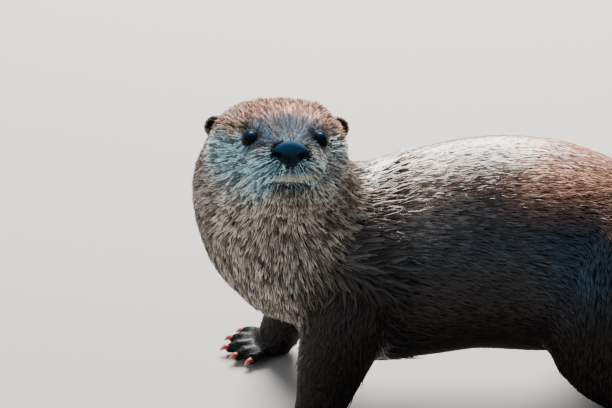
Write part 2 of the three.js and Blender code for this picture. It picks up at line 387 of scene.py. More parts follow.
@dataclass
class Anatomy:
    """The body's axes: which part a point belongs to, and which way its fur lies."""

    head: HeadFrame
    sharpness: float = 9.0
    flank_fall: float = 0.35
    sole_height: float = 0.35
    overhang: float = 0.03
    bones: list[Bone] = field(init=False)

    def __post_init__(self) -> None:
        """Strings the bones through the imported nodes."""
        nose, crown, nape, throat = self.head.world([[64, 0, -8], [0, 0, -2], [-42, 0, -4], [-8, 0, -26]])
        neck, trunk = node_points("neck"), node_points("trunk")
        upper, lower = slice_middle(neck, 2, 0.75), slice_middle(neck, 2, 0.2)
        chest = slice_middle(trunk, 0, 0.14)
        spine = [slice_middle(trunk, 0, share) for share in (0.3, 0.5, 0.7, 0.88)]
        tail = [slice_middle(node_points("tail_base"), 0, share) for share in (0.35, 0.8)]
        tail += [slice_middle(node_points("tail_end"), 0, share) for share in (0.15, 0.45, 0.72, 0.97)]
        self.bones = []
        self._string(Zone.HEAD, [nose, crown, nape], (42, 50))
        self._string(Zone.NECK, [throat, upper, lower], (54, 58))
        self._string(Zone.NECK, [nape, chest], (48,))
        self._string(Zone.TRUNK, [chest, *spine], (68, 76, 80, 68))
        self._string(Zone.TAIL, [spine[-1], *tail], (50, 34, 27, 20, 13, 9))
        for lane, (leg, names) in enumerate(LEGS.items()):
            top, shin, paw = (node_points(f"{name}_{leg}") for name in names)
            joints = [slice_middle(top, 2, 0.7), slice_middle(shin, 2, 0.95), slice_middle(shin, 2, 0.1)]
            self._string(Zone.LEG, joints, (34, 26), lane)
            sole = [slice_middle(paw, 0, share) * [1.0, 1.0, self.sole_height] for share in (0.7, 0.12)]
            self._string(Zone.PAW, sole, (17,), lane)

    def _string(self, zone: Zone, points: list[Array], radii: tuple[float, ...], lane: int = 0) -> None:
        """Adds a chain of bones.

        Args:
            zone: the part of the body.
            points: the places where the bones meet.
            radii: how thick the body is round each bone, in millimetres.
            lane: which of several like chains it is.
        """
        for start, end, radius in zip(points, points[1:], radii):
            self.bones.append(Bone(zone, start, end, radius * MM, lane))

    def shares(self, points: Array) -> Array:
        """How much each bone has to do with each point.

        Args:
            points: places on or near the skin.

        Returns:
            A row for each point, with a share for each bone; each row adds up to 1.
        """
        reach = np.empty((len(points), len(self.bones)))
        for column, bone in enumerate(self.bones):
            way = bone.end - bone.start
            along = np.clip((points - bone.start) @ way / (way @ way), 0.0, 1.0)[:, None]
            reach[:, column] = np.linalg.norm(points - bone.start - along * way, axis=1) / bone.radius
        reach -= reach.min(axis=1, keepdims=True)
        weights = np.exp(-self.sharpness * reach)
        return weights / weights.sum(axis=1, keepdims=True)

    def zones(self, shares: Array) -> dict[Zone, Array]:
        """The bones' shares added up over each zone."""
        return {zone: shares[:, [bone.zone is zone for bone in self.bones]].sum(axis=1) for zone in Zone}

    def along_trunk(self, points: Array) -> Array:
        """How far back each point lies: 0 at the front of the trunk and 1 at its back."""
        front, back = (corner[0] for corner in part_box("trunk"))
        return (points[:, 0] - front) / (back - front)

    def lie(self, shares: Array, normals: Array) -> Array:
        """The way the fur lies over each point.

        Args:
            shares: the bones' shares at each point.
            normals: the skin's normals there.

        Returns:
            Unit vectors that lie in the skin.
        """
        flow = shares @ unit(np.array([bone.end - bone.start for bone in self.bones]))
        flow[:, 2] -= self.flank_fall * self.zones(shares)[Zone.TRUNK] * (1.0 - np.abs(normals[:, 2]))
        flow -= normals * np.sum(flow * normals, axis=1, keepdims=True)
        return unit(flow)

    def unwrap(self, points: Array, shares: Array) -> Array:
        """Rolls the skin flat about its bones: the angle round a bone, and the way along its chain.

        Args:
            points: points on the skin.
            shares: the bones' shares at each point.

        Returns:
            Two numbers between 0 and 1 for each point.
        """
        chart = np.zeros((len(points), 2))
        nearest = shares.argmax(axis=1)
        lanes = {zone: 1 + max(bone.lane for bone in self.bones if bone.zone is zone) for zone in Zone}
        for column, bone in enumerate(self.bones):
            mine = nearest == column
            if not mine.any():
                continue
            way = unit(bone.end - bone.start)
            side = unit(np.cross(way, [0.13, 0.31, 0.94]))
            up = np.cross(side, way)
            spokes = points[mine] - bone.start
            angle = np.arctan2(spokes @ side, spokes @ up) / (2.0 * math.pi) + 0.5
            chain = [other for other in self.bones if other.zone is bone.zone and other.lane == bone.lane]
            lengths = [float(np.linalg.norm(other.end - other.start)) for other in chain]
            spot = chain.index(bone)
            along = sum(lengths[:spot]) + np.clip(spokes @ way, -self.overhang, lengths[spot] + self.overhang)
            chart[mine, 0] = (bone.lane + 0.02 + 0.96 * angle) / lanes[bone.zone]
            chart[mine, 1] = (along + self.overhang) / (sum(lengths) + 2.0 * self.overhang)
        return np.clip(chart, 0.002, 0.994)


# ------------------------------------------------------------------ markings and painted light


def mouth_height(x: Array, y: Array) -> Array:
    """The height of the line between the lips in the head's frame.

    Args:
        x: the way to the nose, in millimetres.
        y: the way to the otter's left.

    Returns:
        The height of the line, in millimetres.
    """
    front = -27.9 - 2.9 * (np.abs(y) / 20.0) ** 2
    side = -30.4 - 0.2 * np.clip(54.0 - x, 0.0, 30.0)
    share = smooth(56.0, 48.0, x)
    return front * (1.0 - share) + side * share


def lip_height(x: Array, y: Array) -> Array:
    """The height of the cream band on the upper lip, which climbs on the otter's left."""
    return mouth_height(x, y) + 3.0 + 0.018 * np.maximum(y, 0.0) ** 2


def lip_taper(y: Array) -> Array:
    """How thick the cream band is along the lip: 1 in the middle, and thin at its ends."""
    return np.maximum(smooth(-16.0, -2.0, y) * smooth(23.0, 12.0, y), 0.02)


def nose_distance(y: Array, z: Array) -> Array:
    """How far out a place is from the middle of the nose pad.

    Args:
        y: the way to the otter's left in the head's frame, in millimetres.
        z: the height there.

    Returns:
        0 in the middle of the pad and 1 at its edge.
    """
    half_height = np.where(z > NOSE_LEVEL, 7.0, 12.5)
    half_width = 14.4 - 7.0 * smooth(-2.0, -10.0, z - NOSE_LEVEL)
    return np.sqrt(((y - NOSE_SIDE) / half_width) ** 2 + ((z - NOSE_LEVEL) / half_height) ** 2)


@dataclass(frozen=True)
class Markings:
    """Where the coat is pale, cool, warm, cream, dusky or wet. Skin and tufts both take theirs from here. The
    cool cast, the nape's pale sheen, the sunlit part of the warm brown, the blue cast in the dusk and its sky
    reflection on thigh and flank are painted light.
    """

    cheek_rise: float = -2.0
    chest_start: float = 0.02
    chest_end: float = 0.10
    # Where the painted blue sky reflection sits on the near thigh, and the height of its band along the upper
    # flank, in metres.
    reflection_back: float = -0.1
    reflection_height: float = 0.15
    flank_reflection_height: float = 0.172
    throat_way: tuple[float, float, float] = (-0.28, -0.95, -0.12)
    least_wet: float = 0.08

    def masks(self, anatomy: Anatomy, points: Array, normals: Array, shares: Array) -> dict[str, Array]:
        """Works out the markings at points on the skin.

        Args:
            anatomy: the body's axes.
            points: places on the skin.
            normals: the skin's normals there.
            shares: the bones' shares there.

        Returns:
            A number between 0 and 1 for each marking and point.
        """
        zones = anatomy.zones(shares)
        face = self._face(*anatomy.head.local(points).T)
        marks = self._body(points, normals, zones, anatomy.along_trunk(points))
        chin = zones[Zone.HEAD] * face.pop("chin")
        for name, values in face.items():
            marks[name] = marks.get(name, 0.0) + zones[Zone.HEAD] * values
        marks["pale"] = marks["pale"] * (1.0 - 0.74 * chin)
        marks["wet"] = np.maximum(marks["wet"], self.least_wet)
        return {name: np.clip(values, 0.0, 1.0) for name, values in marks.items()}

    def _face(self, x: Array, y: Array, z: Array) -> dict[str, Array]:
        """The markings of the head.

        Args:
            x: the way to the nose in the head's frame, in millimetres.
            y: the way to the otter's left.
            z: the way to the crown.

        Returns:
            The strength of each marking, as if all points lay on the head.
        """
        side = np.abs(y)
        wobble = 1.6 * np.sin(0.31 * y + 0.23 * x) + 1.2 * np.sin(0.53 * y - 0.4 * x + 1.0)
        patches = 0.5 + 0.5 * np.sin(0.42 * y + 0.25 * x + 1.3) * np.sin(0.37 * x - 0.2 * y + 0.4)
        cheek_line = self.cheek_rise + np.clip((30.0 - x) * 0.16, -4.0, 8.0)
        cheek_line += np.where(y < 0.0, 12.0, 9.0) * smooth(20.0, 35.0, side)
        cheek = smooth(cheek_line + 7.0, cheek_line - 5.0, z + wobble)
        # Painted light: the cool mask tints the pale cheeks and muzzle cyan, the cast of cool light from the
        # otter's right, less on the otter's left side, which is turned from it.
        cool_floor = -24.0 - 14.0 * smooth(-8.0, -26.0, y)
        cool = smooth(-16.0, 16.0, x) * cheek * smooth(cool_floor - 14.0, cool_floor, z)
        crown = smooth(9.0, 27.0, z + 0.1 * side + 1.8 * wobble) * (0.3 + 0.7 * patches)
        # The crown's warm brown is partly its own colour and partly painted sunlight; here it is cut back on
        # the otter's right side as painted shade, on the side turned from the light.
        crown *= (0.72 + 0.28 * smooth(-34.0, -4.0, y)) * (0.3 + 0.7 * smooth(-34.0, 0.0, x))
        brow_line = 25.0 - 0.16 * side
        # The dusk between the eyes is a darker tone with a painted blue cast.
        bridge = smooth(4.0, 24.0, x) * smooth(-5.0, 4.0, z + wobble)
        bridge = bridge * smooth(brow_line + 4.0, brow_line - 6.0, z)
        mouth = z - mouth_height(x, y)
        lip = smooth(44.0, 50.0, x) * bump((z - lip_height(x, y)) / lip_taper(y), 0.2, 2.9)
        bib = bump(z, -44.0, 8.0) * bump(y, 4.0, 14.0) * smooth(10.0, 30.0, x)
        chin = smooth(32.0, 42.0, x) * smooth(17.0, 9.0, np.abs(y - 1.0))
        return {
            "pale": cheek * (0.35 + 0.6 * smooth(-30.0, 10.0, x)) + (1.0 - cheek) * 0.12 * (1.0 - patches),
            "cool": cool * (1.0 - 0.45 * smooth(4.0, 24.0, y)),
            "warm": 0.85 * crown,
            "cream": 1.3 * lip + 0.35 * bib,
            "dusk": bridge * (0.62 + 0.26 * patches) * smooth(31.0, 20.0, side),
            "wet": np.full_like(x, 0.1),
            "chin": chin * smooth(-12.0, -8.0, mouth) * smooth(0.8, -1.0, mouth),
        }

    def _body(
        self, points: Array, normals: Array, zones: dict[Zone, Array], along: Array
    ) -> dict[str, Array]:
        """The markings behind the head.

        Args:
            points: places on the skin.
            normals: the skin's normals there.
            zones: how much each point belongs to each zone.
            along: how far back each point lies along the trunk.

        Returns:
            The strength of each marking.
        """
        neck, trunk, paw = zones[Zone.NECK], zones[Zone.TRUNK], zones[Zone.PAW]
        height, upward = points[:, 2], normals[:, 2]
        front = smooth(-0.4, 0.7, normals @ unit(np.array(self.throat_way)))
        throat = (1.0 - 0.36 * smooth(-0.4, -0.9, normals[:, 0])) * (0.60 + 0.12 * smooth(0.17, 0.22, height))
        chest = smooth(self.chest_end, self.chest_start, along) * smooth(0.05, 0.09, height)
        # Painted sheen: the nape and the front of the back are made paler where they face up and, on the
        # neck, where they face back, standing for the shine of the wet coat.
        hind = 0.7 * neck * np.clip(normals[:, 0], 0.0, 1.0)
        nape = smooth(0.3, 0.85, upward + hind) * smooth(0.45, 0.28, along)
        # The warm brown on the upward faces of the back and rump is partly the fur's own brown and partly
        # painted sunlight on the top.
        rump_brown_and_sunlight = (0.16 + 0.72 * smooth(0.42, 0.56, along)) * (1.0 - 0.88 * smooth(0.68, 0.98, along))
        # Painted sky reflection: a blue patch on the near thigh and a band along the upper flank, laid in
        # with the dusk colour where the skin faces -y, toward the camera.
        hip_sky_reflection = bump(points[:, 0], self.reflection_back, 0.04) * bump(height, self.reflection_height, 0.025)
        hip_sky_reflection += 0.38 * trunk * bump(height, self.flank_reflection_height, 0.03)
        sheen = smooth(-0.1, 0.7, upward) * (1.0 - 0.68 * smooth(0.44, 0.58, along))
        return {
            "pale": neck * front * throat + trunk * chest * front * 0.6 + 0.24 * (neck + trunk) * nape,
            "warm": (trunk + zones[Zone.TAIL]) * smooth(0.4, 0.86, upward) * rump_brown_and_sunlight,
            # On the paws the dusk is a dark tone with a painted blue cast; on the thigh and flank it is the
            # painted sky reflection.
            "dusk": 0.35 * paw + hip_sky_reflection * smooth(-0.3, -0.8, normals[:, 1]),
            "wet": sheen * (1.0 - zones[Zone.HEAD]) - 0.4 * paw,
        }


# ------------------------------------------------------------------ materials


class Nodes:
    """A small writer of shader nodes."""

    MIX_INPUTS = (0, 6, 7)
    MIX_RESULT = 2

    def __init__(self, tree: Tree) -> None:
        """Starts on an empty tree."""
        self.tree = tree
        tree.nodes.clear()

    def add(self, kind: str, inputs: Feeds | None = None, **settings: object) -> bpy.types.Node:
        """Adds a node.

        Args:
            kind: the node's type.
            inputs: what its inputs are fed with.
            settings: its properties.

        Returns:
            The new node.
        """
        node = self.tree.nodes.new(kind)
        for name, value in settings.items():
            setattr(node, name, value)
        self.feed(node, inputs or {})
        return node

    def feed(self, node: bpy.types.Node, inputs: Feeds) -> None:
        """Feeds a node's inputs.

        Args:
            node: the node.
            inputs: a socket to link, or a value, for the name or number of each input.
        """
        for name, value in inputs.items():
            target = node.inputs[name]
            if isinstance(value, Plug):
                self.tree.links.new(value, target)
            elif target.type == "RGBA":
                target.default_value = (*value, 1.0)
            else:
                target.default_value = value

    def mix(self, share: object, first: object, second: object, **settings: object) -> Plug:
        """Mixes two colours.

        Args:
            share: how much of the second colour there is.
            first: a colour or a socket.
            second: a colour or a socket.
            settings: further properties of the node.

        Returns:
            The mixed colour.
        """
        inputs = dict(zip(self.MIX_INPUTS, (share, first, second)))
        settings = {"data_type": "RGBA", **settings}
        return self.add("ShaderNodeMix", inputs, **settings).outputs[self.MIX_RESULT]

    def math(self, operation: str, *numbers: object) -> Plug:
        """The result of working with numbers, each a socket or a value."""
        return self.add("ShaderNodeMath", dict(enumerate(numbers)), operation=operation).outputs[0]

    def place(self) -> Plug:
        """The place on the piece."""
        return self.add("ShaderNodeTexCoord").outputs["Object"]

    def attribute(self, name: str) -> Plug:
        """A number that the mesh carries."""
        return self.add("ShaderNodeAttribute", attribute_name=name).outputs["Fac"]

    def ramp(self, share: Plug, colours: dict[float, Colour]) -> Plug:
        """Runs through a row of colours.

        Args:
            share: where to read the row.
            colours: the colour at each place, from the lowest place to the highest.

        Returns:
            The colour there.
        """
        node = self.add("ShaderNodeValToRGB", {"Fac": share})
        stops = node.color_ramp.elements
        first, *between, last = colours.items()
        for stop, (position, colour) in zip(stops, (first, last)):
            stop.position, stop.color = position, (*colour, 1.0)
        for position, colour in between:
            stops.new(position).color = (*colour, 1.0)
        return node.outputs["Color"]


def shared_group(
    name: str, inputs: dict[str, str], outputs: dict[str, str], write: Callable[[Nodes, dict], dict]
) -> Tree:
    """A shader group that several finishes use, made when it is first asked for.

    Args:
        name: the group's name.
        inputs: the type of each input.
        outputs: the type of each output.
        write: takes the writer and the inputs' sockets, writes the group and returns what feeds its outputs.

    Returns:
        The group.
    """
    if name in bpy.data.node_groups:
        return bpy.data.node_groups[name]
    group = bpy.data.node_groups.new(name, "ShaderNodeTree")
    for way, sockets in (("INPUT", inputs), ("OUTPUT", outputs)):
        for socket, kind in sockets.items():
            group.interface.new_socket(socket, in_out=way, socket_type=kind)
    nodes = Nodes(group)
    start = nodes.add("NodeGroupInput").outputs
    nodes.add("NodeGroupOutput", write(nodes, {socket: start[socket] for socket in inputs}))
    return group


@dataclass(frozen=True)
class CoatColours:
    """The coat's colours, from its dark back to its cream lip, and how far they spread."""

    dark: Colour = (0.017, 0.012, 0.010)
    pale: Colour = (0.72, 0.64, 0.54)
    # Cyan: the painted cast of cool light on the pale face fur.
    cool: Colour = (0.44, 0.80, 0.96)
    # Warm brown: the crown's and back's own brown, brightened to orange where it stands for painted sunlight.
    warm: Colour = (0.54, 0.265, 0.18)
    cream: Colour = (0.84, 0.86, 0.64)
    # Dark slate blue: a painted sky reflection on the thigh and upper flank; between the eyes, on the paws
    # and in the ear hollows a dark tone with a painted blue cast.
    dusk: Colour = (0.028, 0.064, 0.108)
    blotch_size: float = 55.0

    def group(self) -> Tree:
        """The otter's markings: masks in, the colour of the fur out."""
        inputs = {name: "NodeSocketFloat" for name in (*MARKS, "Along", "Shade")}
        return shared_group("OtterMarkings", inputs, {"Color": "NodeSocketColor"}, self._write)

    def _write(self, nodes: Nodes, start: dict[str, Plug]) -> dict[str, Plug]:
        """Lays the markings over each other and shades them from root to tip and from tuft to tuft.

        Args:
            nodes: the group's writer.
            start: the group's inputs.

        Returns:
            The group's output.
        """
        colour = nodes.mix(start["Pale"], self.dark, nodes.mix(start["Cool"], self.pale, self.cool))
        for mark, fur in (("Warm", self.warm), ("Dusk", self.dusk), ("Cream", self.cream)):
            colour = nodes.mix(start[mark], colour, fur)
        inputs = {"Vector": nodes.place(), "Scale": self.blotch_size, "Detail": 3.0}
        mottle = nodes.add("ShaderNodeTexNoise", inputs).outputs["Fac"]
        # Along darkens each tuft toward its root and along its sides: partly the darker underfur, partly
        # painted shade on the tuft's sides, with the ridge kept pale as a painted highlight.
        depth = nodes.math("MULTIPLY_ADD", nodes.math("POWER", start["Along"], 1.1), 1.6, 0.06)
        spread = nodes.math("MULTIPLY_ADD", nodes.math("POWER", start["Shade"], 1.8), 2.1, 0.12)
        blotch = nodes.math("MULTIPLY_ADD", mottle, 0.5, 0.75)
        factor = nodes.math("MULTIPLY", nodes.math("MULTIPLY", depth, spread), blotch)
        grey = nodes.add("ShaderNodeCombineColor", dict.fromkeys(range(3), factor)).outputs["Color"]
        return {"Color": nodes.mix(1.0, colour, grey, blend_type="MULTIPLY", clamp_result=True)}


def write_grain(nodes: Nodes, start: dict[str, Plug]) -> dict[str, Plug]:
    """Writes the fine strands and pores of fur and hide.

    Args:
        nodes: the group's writer.
        start: the group's inputs: a place and a size.

    Returns:
        The group's output, a height.
    """
    spread = {"Vector": start["Vector"], "Scale": start["Size"]}
    strands = nodes.add("ShaderNodeTexNoise", {**spread, "Detail": 2.0}).outputs["Fac"]
    pores = nodes.add("ShaderNodeTexVoronoi", spread).outputs["Distance"]
    return {"Height": nodes.math("MULTIPLY_ADD", pores, -0.4, strands)}


@dataclass(frozen=True)
class Finish:
    """What a piece is made of."""

    name: str
    roughness: float

    def material(self) -> bpy.types.Material:
        """The finish's material, made when it is first asked for."""
        if self.name in bpy.data.materials:
            return bpy.data.materials[self.name]
        material = bpy.data.materials.new(self.name)
        material.use_nodes = True
        nodes = Nodes(material.node_tree)
        shader = nodes.add("ShaderNodeBsdfPrincipled", {"Roughness": self.roughness})
        nodes.add("ShaderNodeOutputMaterial", {"Surface": shader.outputs["BSDF"]})
        nodes.feed(shader, self.looks(nodes))
        return material

    def looks(self, nodes: Nodes) -> dict[str, object]:
        """What feeds the shader, beside its roughness."""
        raise NotImplementedError

    def grain(
        self, nodes: Nodes, size: float, depth: float, stretch: tuple[float, ...] = (1.0, 1.0, 1.0)
    ) -> tuple[Plug, Plug]:
        """Adds the shared grain.

        Args:
            nodes: the material's writer.
            size: how fine the grain is.
            depth: how deep it is, in metres.
            stretch: how much finer it is along each axis.

        Returns:
            The grain's height and its normal.
        """
        inputs = {"Vector": "NodeSocketVector", "Size": "NodeSocketFloat"}
        group = shared_group("FurGrain", inputs, {"Height": "NodeSocketFloat"}, write_grain)
        mapping = nodes.add("ShaderNodeMapping", {"Vector": nodes.place(), "Scale": stretch})
        feeds = {"Vector": mapping.outputs["Vector"], "Size": size}
        height = nodes.add("ShaderNodeGroup", feeds, node_tree=group).outputs["Height"]
        relief = nodes.add("ShaderNodeBump", {"Distance": depth, "Strength": 0.7, "Height": height})
        return height, relief.outputs["Normal"]


@dataclass(frozen=True)
class WetFur(Finish):
    """Wet fur, on the tufts or on the skin under them."""

    gloss: float
    tufts: bool = False

    def looks(self, nodes: Nodes) -> dict[str, object]:
        """The markings under a wet sheen, with a fine grain where no tufts stand."""
        feeds = {mark: nodes.attribute(mark.lower()) for mark in MARKS}
        looks = {
            "Specular IOR Level": 0.06 + 0.3 * self.gloss,
            "Coat Weight": nodes.math("MULTIPLY", nodes.attribute("wet"), 1.3 * self.gloss),
            "Coat Roughness": 0.24,
        }
        if self.tufts:
            feeds |= {"Along": nodes.attribute("along"), "Shade": nodes.attribute("shade")}
        else:
            feeds |= {"Along": feeds["Cream"], "Shade": 0.3}
            looks["Normal"] = self.grain(nodes, 700.0, 0.4 * MM, (0.35, 1.0, 0.8))[1]
        marks = nodes.add("ShaderNodeGroup", feeds, node_tree=CoatColours().group())
        return {"Base Color": marks.outputs["Color"], **looks}


@dataclass(frozen=True)
class BareHide(Finish):
    """Bare skin, as on the nose and the lids, mixed by its 'sky' attribute from painted shade, nearly black,
    to a painted lit copy of its colour.
    """

    colour: Colour
    size: float
    depth: float

    def looks(self, nodes: Nodes) -> dict[str, object]:
        """A pebbled hide with little shine."""
        height, normal = self.grain(nodes, self.size, self.depth)
        shadow = tuple(channel * 0.1 + 0.002 for channel in self.colour)
        lit = nodes.mix(height, tuple(channel * 0.6 for channel in self.colour), self.colour)
        hide = nodes.mix(nodes.attribute("sky"), shadow, lit)
        return {"Base Color": hide, "Specular IOR Level": 0.14, "Normal": normal}


@dataclass(frozen=True)
class DarkEye(Finish):
    """A dark eye: pupil, brown iris and a dark rim, with a painted blue sky reflection on top."""

    centre: tuple[float, ...]
    gaze: tuple[float, ...]
    radius: float
    blue: Colour = (0.003, 0.014, 0.036)

    def looks(self, nodes: Nodes) -> dict[str, object]:
        """Rings about the gaze, and the painted blue sky reflection from a little above the middle upwards.
        """
        away = nodes.add("ShaderNodeVectorMath", {0: nodes.place(), 1: self.centre}, operation="SUBTRACT")
        spoke = away.outputs["Vector"]
        gaze = tuple(part / self.radius for part in self.gaze)
        ahead = nodes.add("ShaderNodeVectorMath", {0: spoke, 1: gaze}, operation="DOT_PRODUCT")
        rings = nodes.ramp(ahead.outputs["Value"], {
            0.72: (0.004, 0.008, 0.014),
            0.80: (0.008, 0.006, 0.006),
            0.90: (0.012, 0.007, 0.005),
            0.95: (0.002, 0.002, 0.003),
        })
        # Painted sky reflection: the eye turns blue from a little above its middle upwards.
        height = nodes.add("ShaderNodeSeparateXYZ", {"Vector": spoke}).outputs["Z"]
        span = {"Value": height, "From Min": 0.25 * self.radius, "From Max": 0.9 * self.radius}
        sky = nodes.add("ShaderNodeMapRange", span, interpolation_type="SMOOTHSTEP").outputs["Result"]
        return {
            "Base Color": nodes.mix(sky, rings, self.blue),
            "Specular IOR Level": 0.02,
            "Coat Weight": 0.01,
            "Coat Roughness": 0.1,
        }


@dataclass(frozen=True)
class Horn(Finish):
    """Horn or stiff hair, which changes its colour from root to tip."""

    root: Colour
    tip: Colour
    ridged: bool = False

    def looks(self, nodes: Nodes) -> dict[str, object]:
        """The colour, and fine ridges if asked for."""
        looks = {"Base Color": nodes.ramp(nodes.attribute("along"), {0.0: self.root, 1.0: self.tip})}
        if self.ridged:
            looks["Normal"] = self.grain(nodes, 1400.0, 0.1 * MM)[1]
        return looks


@dataclass(frozen=True)
class FloorPaint(Finish):
    """The even paint of the studio floor."""

    colour: Colour

    def looks(self, nodes: Nodes) -> dict[str, object]:
        """One colour."""
        return {"Base Color": self.colour}


# ------------------------------------------------------------------ skin


@dataclass
class Surface:
    """A finished surface that fur can grow on."""

    points: Array
    normals: Array
    triangles: Array
    shares: Array
    flow: Array | None = None

    @classmethod
    def of(cls, mesh: Mesh, anatomy: Anatomy, flow: Array | None = None) -> "Surface":
        """Reads a mesh.

        Args:
            mesh: the mesh, in place.
            anatomy: the body's axes.
            flow: the way the fur lies at each vertex, where it doesn't follow the bones.

        Returns:
            The mesh's surface as arrays.
        """
        mesh.calc_loop_triangles()
        triangles = read(mesh.loop_triangles, "vertices", 3, np.int64)
        points = vertex_array(mesh)
        return cls(points, normal_array(mesh), triangles, anatomy.shares(points), flow)

    def tree(self) -> BVHTree:
        """The surface as a tree for ray casts."""
        return BVHTree.FromPolygons([Vector(p) for p in self.points], self.triangles.tolist())

    def blend(self, values: Array, chosen: Array, weights: Array) -> Array:
        """Blends the vertices' values inside triangles.

        Args:
            values: a number or a row for each vertex.
            chosen: the triangle of each place.
            weights: the place's three weights in its triangle.

        Returns:
            A number or a row for each place.
        """
        return np.einsum("ij,ij...->i...", weights, values[self.triangles[chosen]])


@dataclass
class Skin:
    """One skin over the whole animal, a coat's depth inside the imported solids."""

    anatomy: Anatomy
    markings: Markings
    voxel: float = 2.0 * MM
    overlap: float = 0.45 * MM
    body_detail: float = 0.3
    sole: float = 0.4 * MM
    muzzle_passes: int = 12
    passes: dict[Zone, int] = field(default_factory=lambda: {
        Zone.HEAD: 34, Zone.NECK: 90, Zone.TRUNK: 110, Zone.TAIL: 26, Zone.LEG: 40, Zone.PAW: 3,
    })
    depths: dict[Zone, float] = field(default_factory=lambda: {
        Zone.HEAD: 1.4, Zone.NECK: 3.2, Zone.TRUNK: 1.4, Zone.TAIL: 1.4, Zone.LEG: 1.2, Zone.PAW: 0.5,
    })
    piece: Piece = field(init=False)
    surface: Surface = field(init=False)

    def build(self, eyes: "Eyes") -> None:
        """Makes the skin, and the eyes on it, and keeps its fine surface for the coat to grow from."""
        self.piece = join(self._copies(), "skin")
        apply_modifier(self.piece, "REMESH", mode="VOXEL", voxel_size=self.voxel)
        self._keep_largest()
        self._relax()
        self._refine_face()
        self._sink()
        self.surface = Surface.of(self.piece.data, self.anatomy)
        eyes.build(self.surface.tree())
        self._open_eyes(eyes)
        self._thin_body()
        mesh = self.piece.data
        points = vertex_array(mesh)
        shares = self.anatomy.shares(points)
        put_attributes(mesh, self.markings.masks(self.anatomy, points, normal_array(mesh), shares))
        dress(self.piece, WetFur("WetSkin", 0.55, 0.14), FLESH)

    def _copies(self) -> list[Piece]:
        """Copies of the flesh nodes, each a little swollen so that they overlap."""
        copies = []
        for name in (*FLESH, "nose", "eye_left", "eye_right"):
            copy = place(f"copy_{name}", frame["nodes"][name].data.copy())
            with editing(copy):
                bpy.ops.mesh.remove_doubles(threshold=1e-6)
            points = vertex_array(copy.data) + normal_array(copy.data) * self.overlap
            points[:, 2] = np.maximum(points[:, 2], 0.0)
            set_vertices(copy.data, points)
            copies.append(copy)
        return copies

    def _keep_largest(self) -> None:
        """Deletes loose scraps inside the body."""
        with editing(self.piece):
            bpy.ops.mesh.select_all(action="DESELECT")
        top = int(vertex_array(self.piece.data)[:, 2].argmax())
        self.piece.data.vertices[top].select = True
        with editing(self.piece, select=False):
            bpy.context.tool_settings.mesh_select_mode = (True, False, False)
            bpy.ops.mesh.select_linked()
            bpy.ops.mesh.select_all(action="INVERT")
            bpy.ops.mesh.delete(type="VERT")

    def _relax(self) -> None:
        """Rounds the facets away, more on the body than on the head and the toes."""
        mesh = self.piece.data
        points = vertex_array(mesh)
        edges = read(mesh.edges, "vertices", 2, np.int64)
        starts = np.concatenate([edges[:, 0], edges[:, 1]])
        ends = np.concatenate([edges[:, 1], edges[:, 0]])
        order = np.argsort(starts, kind="stable")
        starts, ends = starts[order], ends[order]
        first = np.searchsorted(starts, np.arange(len(points)))
        count = np.bincount(starts, minlength=len(points))[:, None]
        zones = self.anatomy.zones(self.anatomy.shares(points))
        wanted = sum(zones[zone] * number for zone, number in self.passes.items())
        x = self.anatomy.head.local(points)[:, 0]
        wanted -= zones[Zone.HEAD] * smooth(30.0, 50.0, x) * (self.passes[Zone.HEAD] - self.muzzle_passes)
        ground = points[:, 2] < self.sole
        for step in range(int(wanted.max()) + 1):
            share = 0.5 * np.clip(wanted - step, 0.0, 1.0)[:, None]
            means = np.add.reduceat(points[ends], first, axis=0) / count
            points += (means - points) * share
            points[ground, 2] = np.minimum(points[ground, 2], self.sole)
        set_vertices(mesh, above_floor(points))

    def _refine_face(self) -> None:
        """Gives the muzzle and the eyes a finer mesh."""
        for limit in (26.0, 34.0):
            x, y, z = self.anatomy.head.local(vertex_array(self.piece.data)).T
            self._pick((x > limit) & (np.abs(y) < 48.0) & (np.abs(z) < 60.0))
            with editing(self.piece, select=False):
                bpy.ops.mesh.subdivide(number_cuts=1, smoothness=0.0)
                bpy.ops.mesh.vertices_smooth(factor=0.5, repeat=2)

    def _thin_body(self) -> None:
        """Thins the mesh where the coat hides it and no detail needs it."""
        zones = self.anatomy.zones(self.anatomy.shares(vertex_array(self.piece.data)))
        self._pick(zones[Zone.TRUNK] + zones[Zone.TAIL] + zones[Zone.NECK] + zones[Zone.LEG] > 0.9)
        with editing(self.piece, select=False):
            bpy.ops.mesh.decimate(ratio=self.body_detail)

    def _pick(self, wanted: Array) -> None:
        """Selects the faces whose corners are all wanted."""
        mesh = self.piece.data
        sizes = read(mesh.polygons, "loop_total", 1, np.int64)
        corners = read(mesh.loops, "vertex_index", 1, np.int64)
        starts = np.concatenate([[0], np.cumsum(sizes)[:-1]])
        faces = np.minimum.reduceat(wanted[corners].astype(np.int8), starts) > 0
        mesh.vertices.foreach_set("select", np.zeros(len(mesh.vertices), dtype=bool))
        mesh.edges.foreach_set("select", np.zeros(len(mesh.edges), dtype=bool))
        mesh.polygons.foreach_set("select", faces)
        bpy.context.tool_settings.mesh_select_mode = (False, False, True)

    def _sink(self) -> None:
        """Draws the skin in by the depth of the coat and shapes the face."""
        mesh = self.piece.data
        points = vertex_array(mesh)
        zones = self.anatomy.zones(self.anatomy.shares(points))
        depth = sum(zones[zone] * amount for zone, amount in self.depths.items())
        x, y, z = self.anatomy.head.local(points).T
        depth -= zones[Zone.HEAD] * smooth(20.0, 46.0, x) * 0.9
        depth += zones[Zone.HEAD] * self._face_relief(x, y, z)
        depth -= zones[Zone.NECK] * 2.2 * smooth(-24.0, -42.0, y)
        set_vertices(mesh, above_floor(points - normal_array(mesh) * depth[:, None] * MM))

